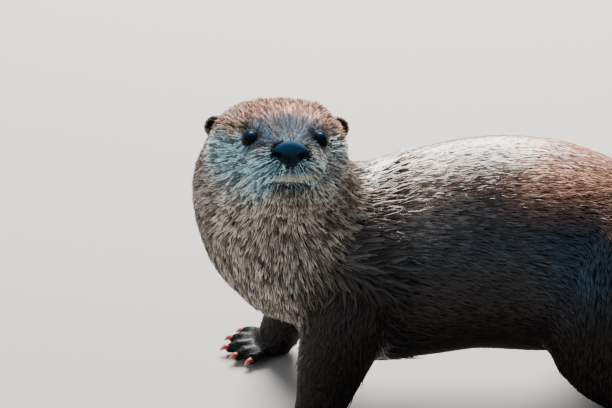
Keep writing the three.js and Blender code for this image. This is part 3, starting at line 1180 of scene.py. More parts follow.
    def _face_relief(self, x: Array, y: Array, z: Array) -> Array:
        """How far the face is drawn in.

        Args:
            x: the way to the nose in the head's frame, in millimetres.
            y: the way to the otter's left.
            z: the way to the crown.

        Returns:
            The depth at each place, in millimetres.
        """
        side, mouth = np.abs(y), z - mouth_height(x, y)
        muzzle = smooth(30.0, 40.0, x)
        groove = muzzle * 2.3 * bump(mouth, 0.0, 1.15) * smooth(31.0, 38.0, x)
        lip = -muzzle * 0.9 * bump(mouth, 4.0, 3.0) * smooth(16.0, 10.0, side)
        philtrum = smooth(56.0, 62.0, x) * 1.3 * bump(y, 0.0, 1.3) * smooth(-28.0, -25.0, z)
        philtrum *= smooth(-17.0, -20.0, z)
        brow = -2.4 * bump(x, 31.0, 8.0) * bump(side, 21.0, 8.0) * bump(z, 15.0, 5.5)
        stop = 1.3 * bump(x, 46.0, 8.0) * bump(side, 0.0, 11.0) * smooth(-2.0, 6.0, z)
        tear = 1.4 * bump(x, 45.0, 6.0) * bump(side, 19.0, 4.0) * bump(z, 2.0, 5.0)
        pad = -1.6 * bump(x, 54.0, 10.0) * bump(side, 16.0, 7.0) * bump(z, -17.0, 7.0)
        under_nose = 5.0 * smooth(1.0, 0.72, nose_distance(y, z)) * smooth(50.0, 56.0, x)
        slim = 3.4 * smooth(26.0, 46.0, y) * smooth(-36.0, -18.0, z)
        jowl = -2.4 * smooth(-28.0, -46.0, y) * smooth(6.0, -8.0, z)
        return groove + lip + philtrum + brow + stop + tear + pad + under_nose + slim + jowl

    def _open_eyes(self, eyes: "Eyes") -> None:
        """Tucks the skin behind each eyeball inside its lids."""
        mesh = self.piece.data
        points = vertex_array(mesh)
        for eye in eyes.sockets:
            spokes = points - eye.centre
            reach = np.linalg.norm(spokes, axis=1)
            angle = np.arccos(np.clip(spokes @ eye.gaze / np.maximum(reach, 1e-9), -1.0, 1.0))
            inside = smooth(math.radians(88.0), math.radians(70.0), angle) * (reach < eye.radius * 2.4)
            wanted = np.minimum(reach, eye.radius - 1.2 * MM)
            radius = reach * (1.0 - inside) + wanted * inside
            points = eye.centre + spokes * (radius / np.maximum(reach, 1e-9))[:, None]
        set_vertices(mesh, points)


# ------------------------------------------------------------------ eyes and lids


@dataclass(frozen=True, eq=False)
class Socket:
    """Where one eye sits and looks."""

    side: str
    centre: Array
    gaze: Array
    across: Array
    up: Array
    radius: float


@dataclass
class Eyes:
    """Both eyeballs and the lids round them."""

    anatomy: Anatomy
    turn_out: float = 33.0
    turn_up: float = 12.0
    half_width: float = 6.5
    half_height: float = 6.4
    upper_share: float = 0.94
    corner_length: float = 0.22
    cornea: float = 0.045
    ball_gap: float = 0.15 * MM
    lid_thickness: float = 0.3
    spread: float = 1.5
    spokes: int = 56
    far: float = 3.0
    lid_rings: tuple[tuple[float, float, float], ...] = (
        (0.0, 0.2, 0.0), (0.12, 0.75, 0.0), (0.5, 1.0, 0.0), (1.1, 1.0, 0.15),
        (1.9, 0.95, 0.45), (2.8, 0.7, 0.8), (3.9, 0.0, 1.0), (5.2, 0.0, 1.0),
    )
    # A pale blue-grey lid: the face fur's grey with a painted cool cast.
    lid_colour: Colour = (0.11, 0.145, 0.17)
    sockets: list[Socket] = field(init=False)

    def __post_init__(self) -> None:
        """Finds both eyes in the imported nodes."""
        self.sockets = []
        head = self.anatomy.head
        out, up = math.radians(self.turn_out), math.radians(self.turn_up)
        for side, sign in SIDES.items():
            points = node_points(f"eye_{side}")
            gaze = head.turned([
                math.cos(out) * math.cos(up), sign * math.sin(out) * math.cos(up), math.sin(up),
            ])
            across = unit(np.cross(head.axes[2], gaze))
            centre = middle(points) + head.turned([0.0, sign * self.spread * MM, 0.0])
            radius = float(np.linalg.norm(points - middle(points), axis=1).max())
            self.sockets.append(Socket(side, centre, gaze, across, np.cross(gaze, across), radius))

    def build(self, tree: BVHTree) -> None:
        """Makes each eyeball and its lids on the skin."""
        for socket in self.sockets:
            self._ball(socket)
            self._lids(socket, tree)

    def _ball(self, socket: Socket) -> None:
        """A round eyeball with a slightly raised cornea."""
        ball = add_ball(40, 24, socket.radius - self.ball_gap)
        ball.name = ball.data.name = f"eyeball_{socket.side}"
        points = vertex_array(ball.data)
        ahead = unit(points) @ socket.gaze
        points *= (1.0 + self.cornea * smooth(0.75, 0.98, ahead))[:, None]
        set_vertices(ball.data, points + socket.centre)
        finish = DarkEye(f"Eye_{socket.side}", 0.26, tuple(socket.centre), tuple(socket.gaze), socket.radius)
        dress(ball, finish, (f"eye_{socket.side}",))

    def _lids(self, socket: Socket, tree: BVHTree) -> None:
        """A rim of skin from the edge of the eye's opening out to the face.

        Args:
            socket: the eye.
            tree: the skin.
        """
        angles = np.linspace(0.0, 2.0 * math.pi, self.spokes, endpoint=False)
        corner = self.corner_length * bump(np.cos(angles) * SIDES[socket.side], -1.0, 0.25)
        wide = self.half_width * MM * (1.0 + corner)
        high = self.half_height * MM * np.where(np.sin(angles) > 0.0, self.upper_share, 1.0)
        points = [
            tuple(self._rim_point(socket, tree, ring, angle, half))
            for ring in self.lid_rings
            for angle, *half in zip(angles, wide, high)
        ]
        lids = add_mesh(f"lids_{socket.side}", points, tube_faces(self.spokes, len(self.lid_rings)))
        with editing(lids):
            bpy.ops.mesh.normals_make_consistent(inside=False)
        if normal_array(lids.data)[: self.spokes].mean(axis=0) @ socket.gaze < 0.0:
            lids.data.flip_normals()
        # The lids take the hide's painted shade, nearly black, at the rim and its painted lit colour farther
        # out, most on the lower lid; the dark rim is also the lid's own dark edge.
        outside = smooth(0.3, 2.2, np.array([outward for outward, _, _ in self.lid_rings]))
        put_attributes(lids.data, {"sky": np.outer(outside, 0.75 - 0.25 * np.sin(angles)).ravel()})
        apply_modifier(lids, "SUBSURF", levels=1, render_levels=1)
        dress(lids, BareHide(f"Lid_{socket.side}", 0.8, self.lid_colour, 2600.0, 0.12 * MM))

    def _rim_point(
        self, socket: Socket, tree: BVHTree, ring: tuple[float, float, float], angle: float, half: list[float]
    ) -> Array:
        """A place on the rim: on the lid near the opening, and on the skin farther out.

        Args:
            socket: the eye.
            tree: the skin.
            ring: how far out the place is, in millimetres, how thick the lid is there, and the skin's share.
            angle: the way to the place, round the gaze.
            half: half the opening's width and height, in metres.

        Returns:
            The place, in metres.
        """
        outward, lid, blend = ring
        wide, high = half
        reach = np.array([math.cos(angle) * (wide + outward * MM), math.sin(angle) * (high + outward * MM)])
        swing = min(float(np.linalg.norm(reach)) / socket.radius, 1.5)
        flat = unit(reach)
        spoke = socket.across * flat[0] + socket.up * flat[1]
        aim = socket.gaze * math.cos(swing) + spoke * math.sin(swing)
        lid_reach = socket.radius + self.lid_thickness * lid * MM
        start = Vector(socket.centre + aim * socket.radius * self.far)
        hit = tree.ray_cast(start, Vector(-aim), socket.radius * self.far)
        skin_reach = socket.radius * self.far - hit[3] if hit[0] else lid_reach
        skin_reach -= 0.35 * MM * smooth(3.0, 5.0, np.array(outward))
        return socket.centre + aim * (lid_reach * (1.0 - blend) + skin_reach * blend)


# ------------------------------------------------------------------ nose and ears


@dataclass
class Nose:
    """The broad bare nose pad with its two comma-shaped nostrils."""

    anatomy: Anatomy
    voxel: float = 0.55 * MM
    centre: tuple[float, float, float] = (65.5, NOSE_SIDE, -4.7)
    slope: float = 4.2
    rounding: float = 1.3
    peak: float = 0.3
    lumps: tuple[tuple[float, ...], ...] = (
        (0.0, 0.0, 0.4, 6.8, 13.0, 7.6),
        (-2.0, 10.4, -2.9, 5.8, 5.4, 5.4),
        (-2.0, -10.4, -2.9, 5.8, 5.4, 5.4),
        (-0.6, 0.0, -8.0, 5.4, 6.6, 6.4),
        (1.2, 5.2, -4.6, 4.6, 4.6, 5.0),
        (1.2, -5.2, -4.6, 4.6, 4.6, 5.0),
    )
    # The pad's blue is a painted sky reflection on a near-black nose.
    finish: BareHide = BareHide("NosePad", 0.6, (0.004, 0.072, 0.160), 900.0, 0.22 * MM)

    def build(self) -> None:
        """Runs the lumps together, presses the nostrils in and sets the pad on the muzzle."""
        head = self.anatomy.head
        lumps = [self._lump(np.array([x, y, z]), np.array(half)) for x, y, z, *half in self.lumps]
        piece = join(lumps, "nose_pad")
        apply_modifier(piece, "REMESH", mode="VOXEL", voxel_size=self.voxel)
        apply_modifier(piece, "SMOOTH", factor=0.5, iterations=14)
        points, normals = vertex_array(piece.data), normal_array(piece.data)
        x, y, z = (head.local(points) - np.array(self.centre)).T
        side = np.abs(y)
        hole = bump(side, 8.9, 3.1) * bump(z, -4.2, 1.9) * smooth(-1.0, 2.0, x)
        slit = bump(z - (side - 10.0) * 0.3, -3.6, 1.1) * smooth(8.5, 11.0, side)
        seam = bump(y, 0.0, 0.8) * smooth(-2.0, -6.0, z)
        depth = 4.0 * hole + 1.9 * slit + 0.6 * seam
        points = points - normals * depth[:, None] * MM
        points -= np.outer(smooth(1.0, -5.5, x) * smooth(1.0, 6.0, z), head.axes[2] * MM * self.slope)
        dome = self.rounding * (side / 9.0) ** 2 - self.peak * bump(side, 0.0, 6.0)
        points -= np.outer(dome * smooth(-2.0, 4.0, z) * smooth(14.0, 11.0, side), head.axes[2] * MM)
        set_vertices(piece.data, points)
        # Painted sky reflection on the upper pad, fading to painted shade, nearly black, on the lower pad and
        # in the nostrils.
        put_attributes(piece.data, {"sky": smooth(-5.5, 1.5, z) * smooth(13.0, 7.0, side) * (1.0 - hole)})
        dress(piece, self.finish, ("nose",))

    def _lump(self, spot: Array, half: Array) -> Piece:
        """One lump of the pad, with its middle and its half sizes in the head's frame."""
        lump = add_ball(32, 20)
        points = vertex_array(lump.data) * half + spot + np.array(self.centre)
        set_vertices(lump.data, self.anatomy.head.world(points))
        return lump


@dataclass
class Ears:
    """Two small round ears with a hollow that opens forwards."""

    anatomy: Anatomy
    markings: Markings
    half: tuple[float, float, float] = (3.2, 7.4, 8.2)
    hollow_depth: float = 4.4
    lean: float = 22.0
    inwards: dict[str, tuple[float, float, float]] = field(default_factory=lambda: {
        "left": (1.5, -5.2, -2.6), "right": (1.5, -1.6, -2.6),
    })
    surfaces: dict[str, tuple[Surface, Array]] = field(default_factory=dict)

    def build(self) -> None:
        """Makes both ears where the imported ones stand."""
        head = self.anatomy.head
        for side, sign in SIDES.items():
            ear = add_ball(36, 24)
            ear.name = ear.data.name = f"ear_shell_{side}"
            shape, inner = self._shape(vertex_array(ear.data), math.radians(self.lean) * sign)
            base = head.local(middle(node_points(f"ear_{side}"))[None, :])[0]
            base += np.array(self.inwards[side]) * np.array([1.0, sign, 1.0])
            set_vertices(ear.data, head.world(shape + base))
            points = vertex_array(ear.data)
            shares = self.anatomy.shares(points)
            masks = self.markings.masks(self.anatomy, points, normal_array(ear.data), shares)
            none = np.zeros(len(points))
            # The ear takes the dusk colour, most in its hollow: a dark tone with a painted blue cast.
            put_attributes(ear.data, masks | {"dusk": 0.25 + 0.7 * inner, "pale": none, "wet": none})
            dress(ear, WetFur(f"EarSkin_{side}", 0.5, 0.1), (f"ear_{side}",))
            root = head.world(base + np.array([0.0, -sign * 9.0, -9.0]))
            self.surfaces[side] = (Surface.of(ear.data, self.anatomy, unit(points - root)), inner)

    def _shape(self, points: Array, lean: float) -> tuple[Array, Array]:
        """Turns a ball into an ear.

        Args:
            points: the vertices of a ball of radius 1.
            lean: how far the ear is turned outwards.

        Returns:
            The ear's vertices about its middle, in millimetres, and how far each lies in the hollow.
        """
        _, y, z = points.T
        inner = smooth(0.86, 0.35, np.sqrt(y**2 + z**2)) * (points[:, 0] > 0.0)
        shape = points * np.array(self.half)
        shape[:, 0] -= self.hollow_depth * inner * (1.0 - 0.25 * smooth(0.0, -0.6, z))
        shape[:, 0] += 1.5 * y**2 - 1.0 * z
        shape[:, 1] *= 1.0 - 0.12 * smooth(0.2, -0.9, z)
        turned = shape.copy()
        turned[:, 0] = shape[:, 0] * math.cos(lean) - shape[:, 1] * math.sin(lean)
        turned[:, 1] = shape[:, 0] * math.sin(lean) + shape[:, 1] * math.cos(lean)
        return turned, inner


# ------------------------------------------------------------------ claws and whiskers


@dataclass(frozen=True)
class Claws:
    """Short curved claws, one for each packed claw node."""

    count: int = 5
    sides: int = 12
    half_width: float = 2.3
    half_height: float = 2.1
    arch: float = 1.0
    bluntness: float = 0.72
    sunk: float = 0.24
    # The claws run from dark red horn at the root to orange at the tip; the red-orange is partly the horn's
    # own colour and partly painted backlight glowing through it.
    finish: Horn = Horn("Claw", 0.45, (0.30, 0.030, 0.016), (0.56, 0.28, 0.15), ridged=True)

    def build(self) -> None:
        """Makes each paw's claws as one piece."""
        for leg, parts in LEGS.items():
            names = tuple(f"claw_{leg}_{number}" for number in range(1, self.count + 1))
            heel = middle(node_points(f"{parts[-1]}_{leg}"))
            piece = join([self._claw(name, heel) for name in names], f"claws_{leg}")
            dress(piece, self.finish, names)

    def _claw(self, name: str, heel: Array) -> Piece:
        """Bends a cone from the root of a packed claw down to its tip.

        Args:
            name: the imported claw.
            heel: the middle of its paw.

        Returns:
            The claw.
        """
        points = node_points(name)
        reach = np.linalg.norm(points[:, :2] - heel[:2], axis=1)
        tip = points[reach.argmax()]
        root = middle(points[reach < reach.min() + 0.25 * np.ptp(reach)])
        root = root - (tip - root) * self.sunk
        way = (tip - root) * self.bluntness
        deselect()
        bpy.ops.mesh.primitive_cylinder_add(
            vertices=self.sides, radius=1.0, depth=1.0, end_fill_type="NOTHING",
        )
        claw = bpy.context.active_object
        with editing(claw):
            bpy.ops.mesh.bisect(plane_co=(0, 0, 0), plane_no=(0, 0, 1))
            bpy.ops.mesh.select_all(action="SELECT")
            bpy.ops.mesh.subdivide(number_cuts=3)
            bpy.ops.mesh.remove_doubles(threshold=1e-5)
        shape = vertex_array(claw.data)
        along = np.clip(shape[:, 2] + 0.5, 0.0, 1.0)
        side = unit(np.cross(way, [0.0, 0.0, 1.0]))
        up = unit(np.cross(side, way))
        girth = (1.0 - along**1.7) ** 0.7
        arch = self.arch * MM * np.sin(along * math.pi)
        placed = root + along[:, None] * way
        placed += side * (shape[:, :1] * self.half_width * MM * girth[:, None])
        placed += up * ((shape[:, 1] * self.half_height * MM * girth + arch)[:, None])
        set_vertices(claw.data, above_floor(placed))
        put_attributes(claw.data, {"along": smooth(0.25, 1.0, along)})
        with editing(claw):
            bpy.ops.mesh.remove_doubles(threshold=1e-5)
            bpy.ops.mesh.fill_holes(sides=0)
            bpy.ops.mesh.normals_make_consistent(inside=False)
        return claw


@dataclass
class Whiskers:
    """Stiff hairs from the muzzle pads and the brows."""

    anatomy: Anatomy
    rows: int = 4
    per_row: int = 4
    rings: int = 9
    thickness: float = 0.13 * MM
    tip_thickness: float = 0.03 * MM
    seed: int = 5

    def build(self, tree: BVHTree) -> None:
        """Makes the whiskers of both sides, rooted in the skin."""
        chance = np.random.default_rng(self.seed)
        for side, sign in SIDES.items():
            hairs = []
            for row in range(self.rows):
                for number in range(self.per_row):
                    spot = np.array([59.0 - 4.6 * number, sign * (15.0 + 1.4 * number), -9.0 - 3.6 * row])
                    spot += chance.normal(0.0, 0.5, 3)
                    way = unit(np.array([-0.15 - 0.12 * number, sign, -0.30 - 0.10 * row + 0.05 * number]))
                    length = chance.uniform(20.0, 40.0) * (1.0 - 0.1 * abs(row - 1.5))
                    hairs.append(self._hair(tree, spot, way, length, chance))
            for rise in (0.0, 2.4):
                spot = np.array([33.0 - rise, sign * (21.0 + rise), 17.0])
                way = unit(np.array([0.1, sign * 0.7, 0.75]))
                hairs.append(self._hair(tree, spot, way, 16.0 + rise, chance))
            finish = Horn(f"Whisker_{side}", 0.35, (0.10, 0.07, 0.05), (0.42, 0.38, 0.34))
            dress(join(hairs, f"whiskers_{side}"), finish)

    def _hair(
        self, tree: BVHTree, spot: Array, way: Array, length: float, chance: np.random.Generator
    ) -> Piece:
        """One tapered hair that starts on the skin nearest a spot and bends back and down.

        Args:
            tree: the skin.
            spot: a place near the root, in the head's frame.
            way: the way it starts, in the head's frame.
            length: how long it is, in millimetres.
            chance: the source of random numbers.

        Returns:
            The hair.
        """
        root = np.array(tree.find_nearest(Vector(self.anatomy.head.world(spot[None, :])[0]))[0])
        steps = np.linspace(0.0, 1.0, self.rings)
        sweep = np.array([-0.5, 0.0, -0.32]) * chance.uniform(0.6, 1.3)
        line = np.array([way * length * step + sweep * length * step**2 * 0.55 for step in steps])
        line = root + self.anatomy.head.turned(line) * MM
        ahead = unit(np.gradient(line, axis=0))
        side = unit(np.cross(ahead, [0.0, 0.0, 1.0]))
        up = np.cross(side, ahead)
        girth = self.thickness * (1.0 - steps) ** 0.7 + self.tip_thickness
        corners = [(math.cos(angle), math.sin(angle)) for angle in (0.0, 2.09, 4.19)]
        points = [
            tuple(line[k] + (side[k] * across + up[k] * over) * girth[k])
            for k in range(self.rings)
            for across, over in corners
        ]
        caps = [(2, 1, 0), tuple(range(len(points) - 3, len(points)))]
        hair = add_mesh("hair", points, tube_faces(3, self.rings) + caps)
        put_attributes(hair.data, {"along": np.repeat(steps, 3)})
        return hair


# ------------------------------------------------------------------ coat


class Cut(Enum):
    """How a tuft is cut: the levels of its rings, from 0 at its root."""

    SHORT = (0.0, 0.5)
    LONG = (0.0, 0.38, 0.72)


@dataclass(frozen=True, kw_only=True)
class Lock:
    """How the tufts of one part of the coat are cut, laid and finished.

    Length, width, spacing, the size of a clump's cell and the length of a strand are in millimetres.
    """

    name: str
    slot: Slot
    length: float
    width: float
    spacing: float
    lift: float
    droop: float
    sway: float
    wander: float
    cell: float = 0.0
    clump: float = 0.0
    cut: Cut = Cut.SHORT
    roughness: float
    gloss: float
    relief: float
    contrast: float = 1.0
    strand: float = 0.0

    def finish(self) -> WetFur:
        """What its tufts are made of."""
        return WetFur(f"{self.name}_fur", self.roughness, self.gloss, tufts=True)


LOCKS = (
    Lock(
        name="coat_face", slot=Slot.HEAD, length=4.6, width=0.64, spacing=0.86, lift=0.2,
        droop=0.5, sway=0.08, wander=0.05, cell=2.4, clump=0.45,
        roughness=0.65, gloss=0.0, relief=1.0, contrast=1.15, strand=9.0,
    ),
    Lock(
        name="coat_crown", slot=Slot.HEAD, length=7.4, width=1.15, spacing=1.4, lift=0.5,
        droop=0.25, sway=0.3, wander=0.2, cell=3.4, clump=0.6,
        roughness=0.5, gloss=0.2, relief=0.9,
    ),
    Lock(
        name="coat_cheek", slot=Slot.HEAD, length=8.6, width=1.0, spacing=1.28, lift=0.34,
        droop=0.4, sway=0.12, wander=0.08, cell=3.4, clump=0.5,
        roughness=0.55, gloss=0.03, relief=1.1, contrast=1.2, strand=14.0,
    ),
    Lock(
        name="coat_throat", slot=Slot.THROAT, length=10.5, width=1.2, spacing=1.6, lift=0.26,
        droop=0.4, sway=0.2, wander=0.12, cell=3.4, clump=0.4,
        roughness=0.55, gloss=0.03, relief=1.0,
    ),
    Lock(
        name="coat_withers", slot=Slot.BODY, length=17.0, width=1.8, spacing=2.0, lift=0.2,
        droop=0.6, sway=0.25, wander=0.16, cell=5.0, clump=0.7, cut=Cut.LONG,
        roughness=0.33, gloss=0.6, relief=0.6, contrast=0.9,
    ),
    Lock(
        name="coat_shoulder", slot=Slot.BODY, length=23.0, width=4.6, spacing=4.0, lift=0.28,
        droop=0.5, sway=0.3, wander=0.22, cut=Cut.LONG,
        roughness=0.36, gloss=0.5, relief=0.6,
    ),
    Lock(
        name="coat_trunk", slot=Slot.BODY, length=11.0, width=1.0, spacing=1.58, lift=0.06,
        droop=0.8, sway=0.15, wander=0.08, cell=3.0, clump=0.45,
        roughness=0.29, gloss=0.76, relief=0.34, contrast=0.75,
    ),
    Lock(
        name="coat_tail", slot=Slot.BODY, length=9.0, width=1.1, spacing=1.85, lift=0.08,
        droop=0.7, sway=0.2, wander=0.14, cell=3.2, clump=0.35,
        roughness=0.38, gloss=0.4, relief=0.55, contrast=0.5,
    ),
    Lock(
        name="coat_legs", slot=Slot.BODY, length=7.5, width=1.0, spacing=1.6, lift=0.10,
        droop=0.7, sway=0.2, wander=0.16, cell=3.6, clump=0.5,
        roughness=0.42, gloss=0.3, relief=0.6, contrast=0.7,
    ),
    Lock(
        name="coat_paws", slot=Slot.BARE, length=2.6, width=0.7, spacing=1.3, lift=0.14,
        droop=0.6, sway=0.15, wander=0.2,
        roughness=0.45, gloss=0.1, relief=0.6,
    ),
)
EAR_LOCK = Lock(
    name="coat_ears", slot=Slot.HEAD, length=3.0, width=0.6, spacing=0.85, lift=0.2,
    droop=0.4, sway=0.3, wander=0.25, cell=2.0, clump=0.4,
    roughness=0.55, gloss=0.0, relief=0.8,
)


@dataclass(frozen=True, eq=False)
class Tufts:
    """Where tufts stand, how long they are and how they bend."""

    roots: Array
    normals: Array
    lie: Array
    side: Array
    length: Array
    lift: Array
    sway: Array
    droop: float

    def line(self, level: float) -> Array:
        """The middle line of every tuft at a level from 0, the root, to 1, the tip."""
        rise = self.lift * (level - self.droop * level**2)
        bend = self.sway * level**2
        return (
            self.roots
            + self.lie * (self.length * level * (1.0 - 0.12 * level))[:, None]
            + self.normals * (self.length * rise)[:, None]
            + self.side * (self.length * bend)[:, None]
        )


@dataclass
class Coat:
    """Tufts of wet fur over the whole skin."""

    anatomy: Anatomy
    markings: Markings
    eyes: Eyes
    patch: float = 0.003
    tilt: float = 0.16
    fan_level: float = -7.0
    # Painted light on each tuft: its side corners keep only this share of the tone along it, as painted
    # shade, and its ridge corner starts this far toward the tip's pale tone, as a painted highlight.
    edge: float = 0.12
    ridge: float = 0.5
    strand_angle: float = 0.045
    strand_start: float = 66.0
    longest_pull: float = 0.9 * MM
    root_depth: float = 0.35 * MM
    block: float = 3.0 * MM
    most: int = 190000
    seed: int = 11

    def build(self, skin: Surface, ears: Ears) -> None:
        """Grows each part of the coat on the skin and on the ears."""
        bare = self._bare(skin)
        cover = self._cover(skin)
        for number, lock in enumerate(LOCKS):
            chance = np.random.default_rng(self.seed + number)
            self._grow(lock, skin, cover[lock.name] * (1.0 - bare), chance)
        for number, (side, (surface, hollow)) in enumerate(ears.surfaces.items(), start=len(LOCKS)):
            lock = replace(EAR_LOCK, name=f"{EAR_LOCK.name}_{side}")
            self._grow(lock, surface, 1.0 - 0.8 * hollow, np.random.default_rng(self.seed + number))

    def _cover(self, skin: Surface) -> dict[str, Array]:
        """How much of each kind of lock every point of the skin carries."""
        zones = self.anatomy.zones(skin.shares)
        x, y, z = self.anatomy.head.local(skin.points).T
        along = self.anatomy.along_trunk(skin.points)
        head, trunk = zones[Zone.HEAD], zones[Zone.TRUNK]
        face = smooth(6.0, 30.0, x + 0.35 * z - 0.25 * np.abs(y))
        crown = smooth(8.0, 18.0, z) * (1.0 - face)
        shoulder = smooth(0.30, 0.16, along)
        rump = smooth(0.50, 0.66, along)
        collar = bump(along, 0.205, 0.04) * bump(skin.points[:, 2], 0.138, 0.026)
        collar = collar * smooth(-0.4, -0.8, skin.normals[:, 1])
        return {
            "coat_face": head * face,
            "coat_crown": head * crown,
            "coat_cheek": head * (1.0 - face - crown),
            "coat_throat": zones[Zone.NECK],
            "coat_withers": trunk * shoulder,
            "coat_shoulder": trunk * collar,
            "coat_trunk": trunk * (1.0 - shoulder) * (1.0 - rump),
            "coat_tail": zones[Zone.TAIL] + trunk * rump,
            "coat_legs": zones[Zone.LEG],
            "coat_paws": zones[Zone.PAW],
        }

    def _bare(self, skin: Surface) -> Array:
        """Where nothing grows, or little: the eyes, the nose, the lips, the soles and the toes."""
        bare = smooth(3.0 * MM, 1.2 * MM, skin.points[:, 2])
        for eye in self.eyes.sockets:
            spokes = skin.points - eye.centre
            off = np.linalg.norm(spokes - np.outer(spokes @ eye.gaze, eye.gaze), axis=1)
            near = np.linalg.norm(spokes, axis=1) < 3.0 * eye.radius
            bare = np.maximum(bare, smooth(6.7 * MM, 6.0 * MM, off) * near * (spokes @ eye.gaze > 0.0))
        x, y, z = self.anatomy.head.local(skin.points).T
        bare = np.maximum(bare, smooth(0.9, 0.8, nose_distance(y, z)) * smooth(50.0, 55.0, x))
        lips = smooth(2.2, 0.9, np.abs(z - lip_height(x, y)) / lip_taper(y)) * smooth(46.0, 50.0, x)
        bare = np.maximum(bare, 0.6 * lips)
        zones = self.anatomy.zones(skin.shares)
        return np.clip(np.maximum(bare, zones[Zone.PAW] * 0.75), 0.0, 1.0)

    def _roots(
        self, lock: Lock, skin: Surface, cover: Array, chance: np.random.Generator
    ) -> tuple[Array, Array]:
        """Spreads roots evenly over the skin.

        Args:
            lock: the kind of lock.
            skin: the skin with its triangles.
            cover: how much of this lock each vertex carries.
            chance: the source of random numbers.

        Returns:
            The triangle of each root, and its three weights there.
        """
        corners = skin.points[skin.triangles]
        sides = corners[:, 1:] - corners[:, :1]
        areas = 0.5 * np.linalg.norm(np.cross(sides[:, 0], sides[:, 1]), axis=1)
        wanted = areas * cover[skin.triangles].mean(axis=1) / (lock.spacing * MM) ** 2
        blocks = ((corners.mean(axis=1) - skin.points.min(axis=0)) / self.block).astype(np.int64)
        code = np.zeros(len(blocks), dtype=np.int64)
        for bit in range(9):
            for axis in range(3):
                code |= ((blocks[:, axis] >> bit) & 1) << (3 * bit + axis)
        order = np.argsort(code, kind="stable")
        total = np.cumsum(wanted[order])
        count = int(total[-1])
        picks = np.arange(count) + chance.uniform(0.0, 1.0, count)
        chosen = order[np.clip(np.searchsorted(total, picks), 0, len(order) - 1)]
        u, v = chance.uniform(0.0, 1.0, (2, count))
        fold = u + v > 1.0
        u[fold], v[fold] = 1.0 - u[fold], 1.0 - v[fold]
        return chosen, np.stack([1.0 - u - v, u, v], axis=1)

    def _grow(self, lock: Lock, skin: Surface, cover: Array, chance: np.random.Generator) -> None:
        """Grows one part of the coat, in as many pieces as its size needs.

        Args:
            lock: the kind of lock.
            skin: the skin that it grows on.
            cover: how much of this lock each vertex carries.
            chance: the source of random numbers.
        """
        chosen, weights = self._roots(lock, skin, cover, chance)
        roots = skin.blend(skin.points, chosen, weights)
        normals = unit(skin.blend(skin.normals, chosen, weights))
        shares = self.anatomy.shares(roots)
        if skin.flow is None:
            flow = self._part(roots, shares, self.anatomy.lie(shares, normals))
        else:
            flow = skin.blend(skin.flow, chosen, weights)
        lie = self._lie(lock, roots, normals, flow, chance)
        shape, facing, shade = self._shape(lock, roots, normals, lie, self._trim(roots, shares), chance)
        masks = {**self.markings.masks(self.anatomy, roots, normals, shares), "shade": shade}
        chart = self.anatomy.unwrap(roots, shares)
        triangles = 6 * (len(lock.cut.value) - 1) + 4
        pieces = max(1, math.ceil(len(roots) * triangles / self.most))
        order = np.argsort(chart[:, 1], kind="stable")
        for number, part in enumerate(np.array_split(order, pieces), start=1):
            name = lock.name if pieces == 1 else f"{lock.name}_{number}"
            picked = {key: values[part] for key, values in masks.items()}
            self._mesh(name, lock, shape[part], facing[part], chart[part], picked)

    def _part(self, roots: Array, shares: Array, flow: Array) -> Array:
        """Turns the fur away from both eyes, and fans it out round the nose.

        Args:
            roots: where the tufts stand.
            shares: the bones' shares there.
            flow: the way the fur lies along the bones.

        Returns:
            The way that it lies with both.
        """
        head = self.anatomy.head
        x, y, z = head.local(roots).T
        fan = unit(np.stack([np.full_like(y, -8.0), y - NOSE_SIDE, z - self.fan_level], axis=1))
        share = smooth(38.0, 52.0, x) * self.anatomy.zones(shares)[Zone.HEAD]
        flow = flow * (1.0 - share)[:, None] + head.turned(fan) * share[:, None]
        for eye in self.eyes.sockets:
            spokes = roots - eye.centre
            outward = spokes - np.outer(spokes @ eye.gaze, eye.gaze)
            share = smooth(17.0 * MM, 7.0 * MM, np.linalg.norm(outward, axis=1)) * (spokes @ eye.gaze > 0.0)
            flow = flow * (1.0 - 0.7 * share)[:, None] + unit(outward) * 0.8 * share[:, None]
        return flow

    def _trim(self, roots: Array, shares: Array) -> Array:
        """How long the fur is: shorter round the nose, the lips and the eyes.

        Args:
            roots: where the tufts stand.
            shares: the bones' shares there.

        Returns:
            A share of the full length for each root.
        """
        x, y, z = self.anatomy.head.local(roots).T
        on_head = self.anatomy.zones(shares)[Zone.HEAD]
        near_nose = smooth(2.2, 1.0, nose_distance(y, z)) * smooth(44.0, 54.0, x)
        near_lips = bump(z - mouth_height(x, y), 1.5, 4.0) * smooth(44.0, 52.0, x)
        near_lips *= smooth(18.0, 12.0, np.abs(y))
        near_eyes = bump(x, 42.0, 6.0) * bump(np.abs(y), 24.0, 8.0) * bump(z, 6.5, 8.0)
        return 1.0 - on_head * np.clip(0.45 * near_nose + 0.6 * near_lips + 0.38 * near_eyes, 0.0, 0.66)

    def _lie(
        self, lock: Lock, roots: Array, normals: Array, flow: Array, chance: np.random.Generator
    ) -> Array:
        """The way each tuft points: the flow of the coat, turned in waves and a little by chance.

        Args:
            lock: the kind of lock.
            roots: where the tufts stand.
            normals: the skin's normals there.
            flow: the flow of the coat there.
            chance: the source of random numbers.

        Returns:
            Unit vectors that lie in the skin.
        """
        lie = unit(flow - normals * np.sum(flow * normals, axis=1, keepdims=True))
        side = np.cross(normals, lie)
        waves = np.zeros(len(roots))
        for frequency, turn in ((95.0, 1.0), (210.0, 0.7), (430.0, 0.4)):
            phase = chance.uniform(0.0, 2.0 * math.pi, 3)
            waves += turn * np.sin(roots @ unit(chance.normal(size=3)) * frequency + phase[0])
            waves += turn * np.sin(roots @ unit(chance.normal(size=3)) * frequency * 1.3 + phase[1])
        angle = lock.wander * (0.55 * waves + chance.normal(0.0, 0.6, len(roots)))
        return unit(lie * np.cos(angle)[:, None] + side * np.sin(angle)[:, None])

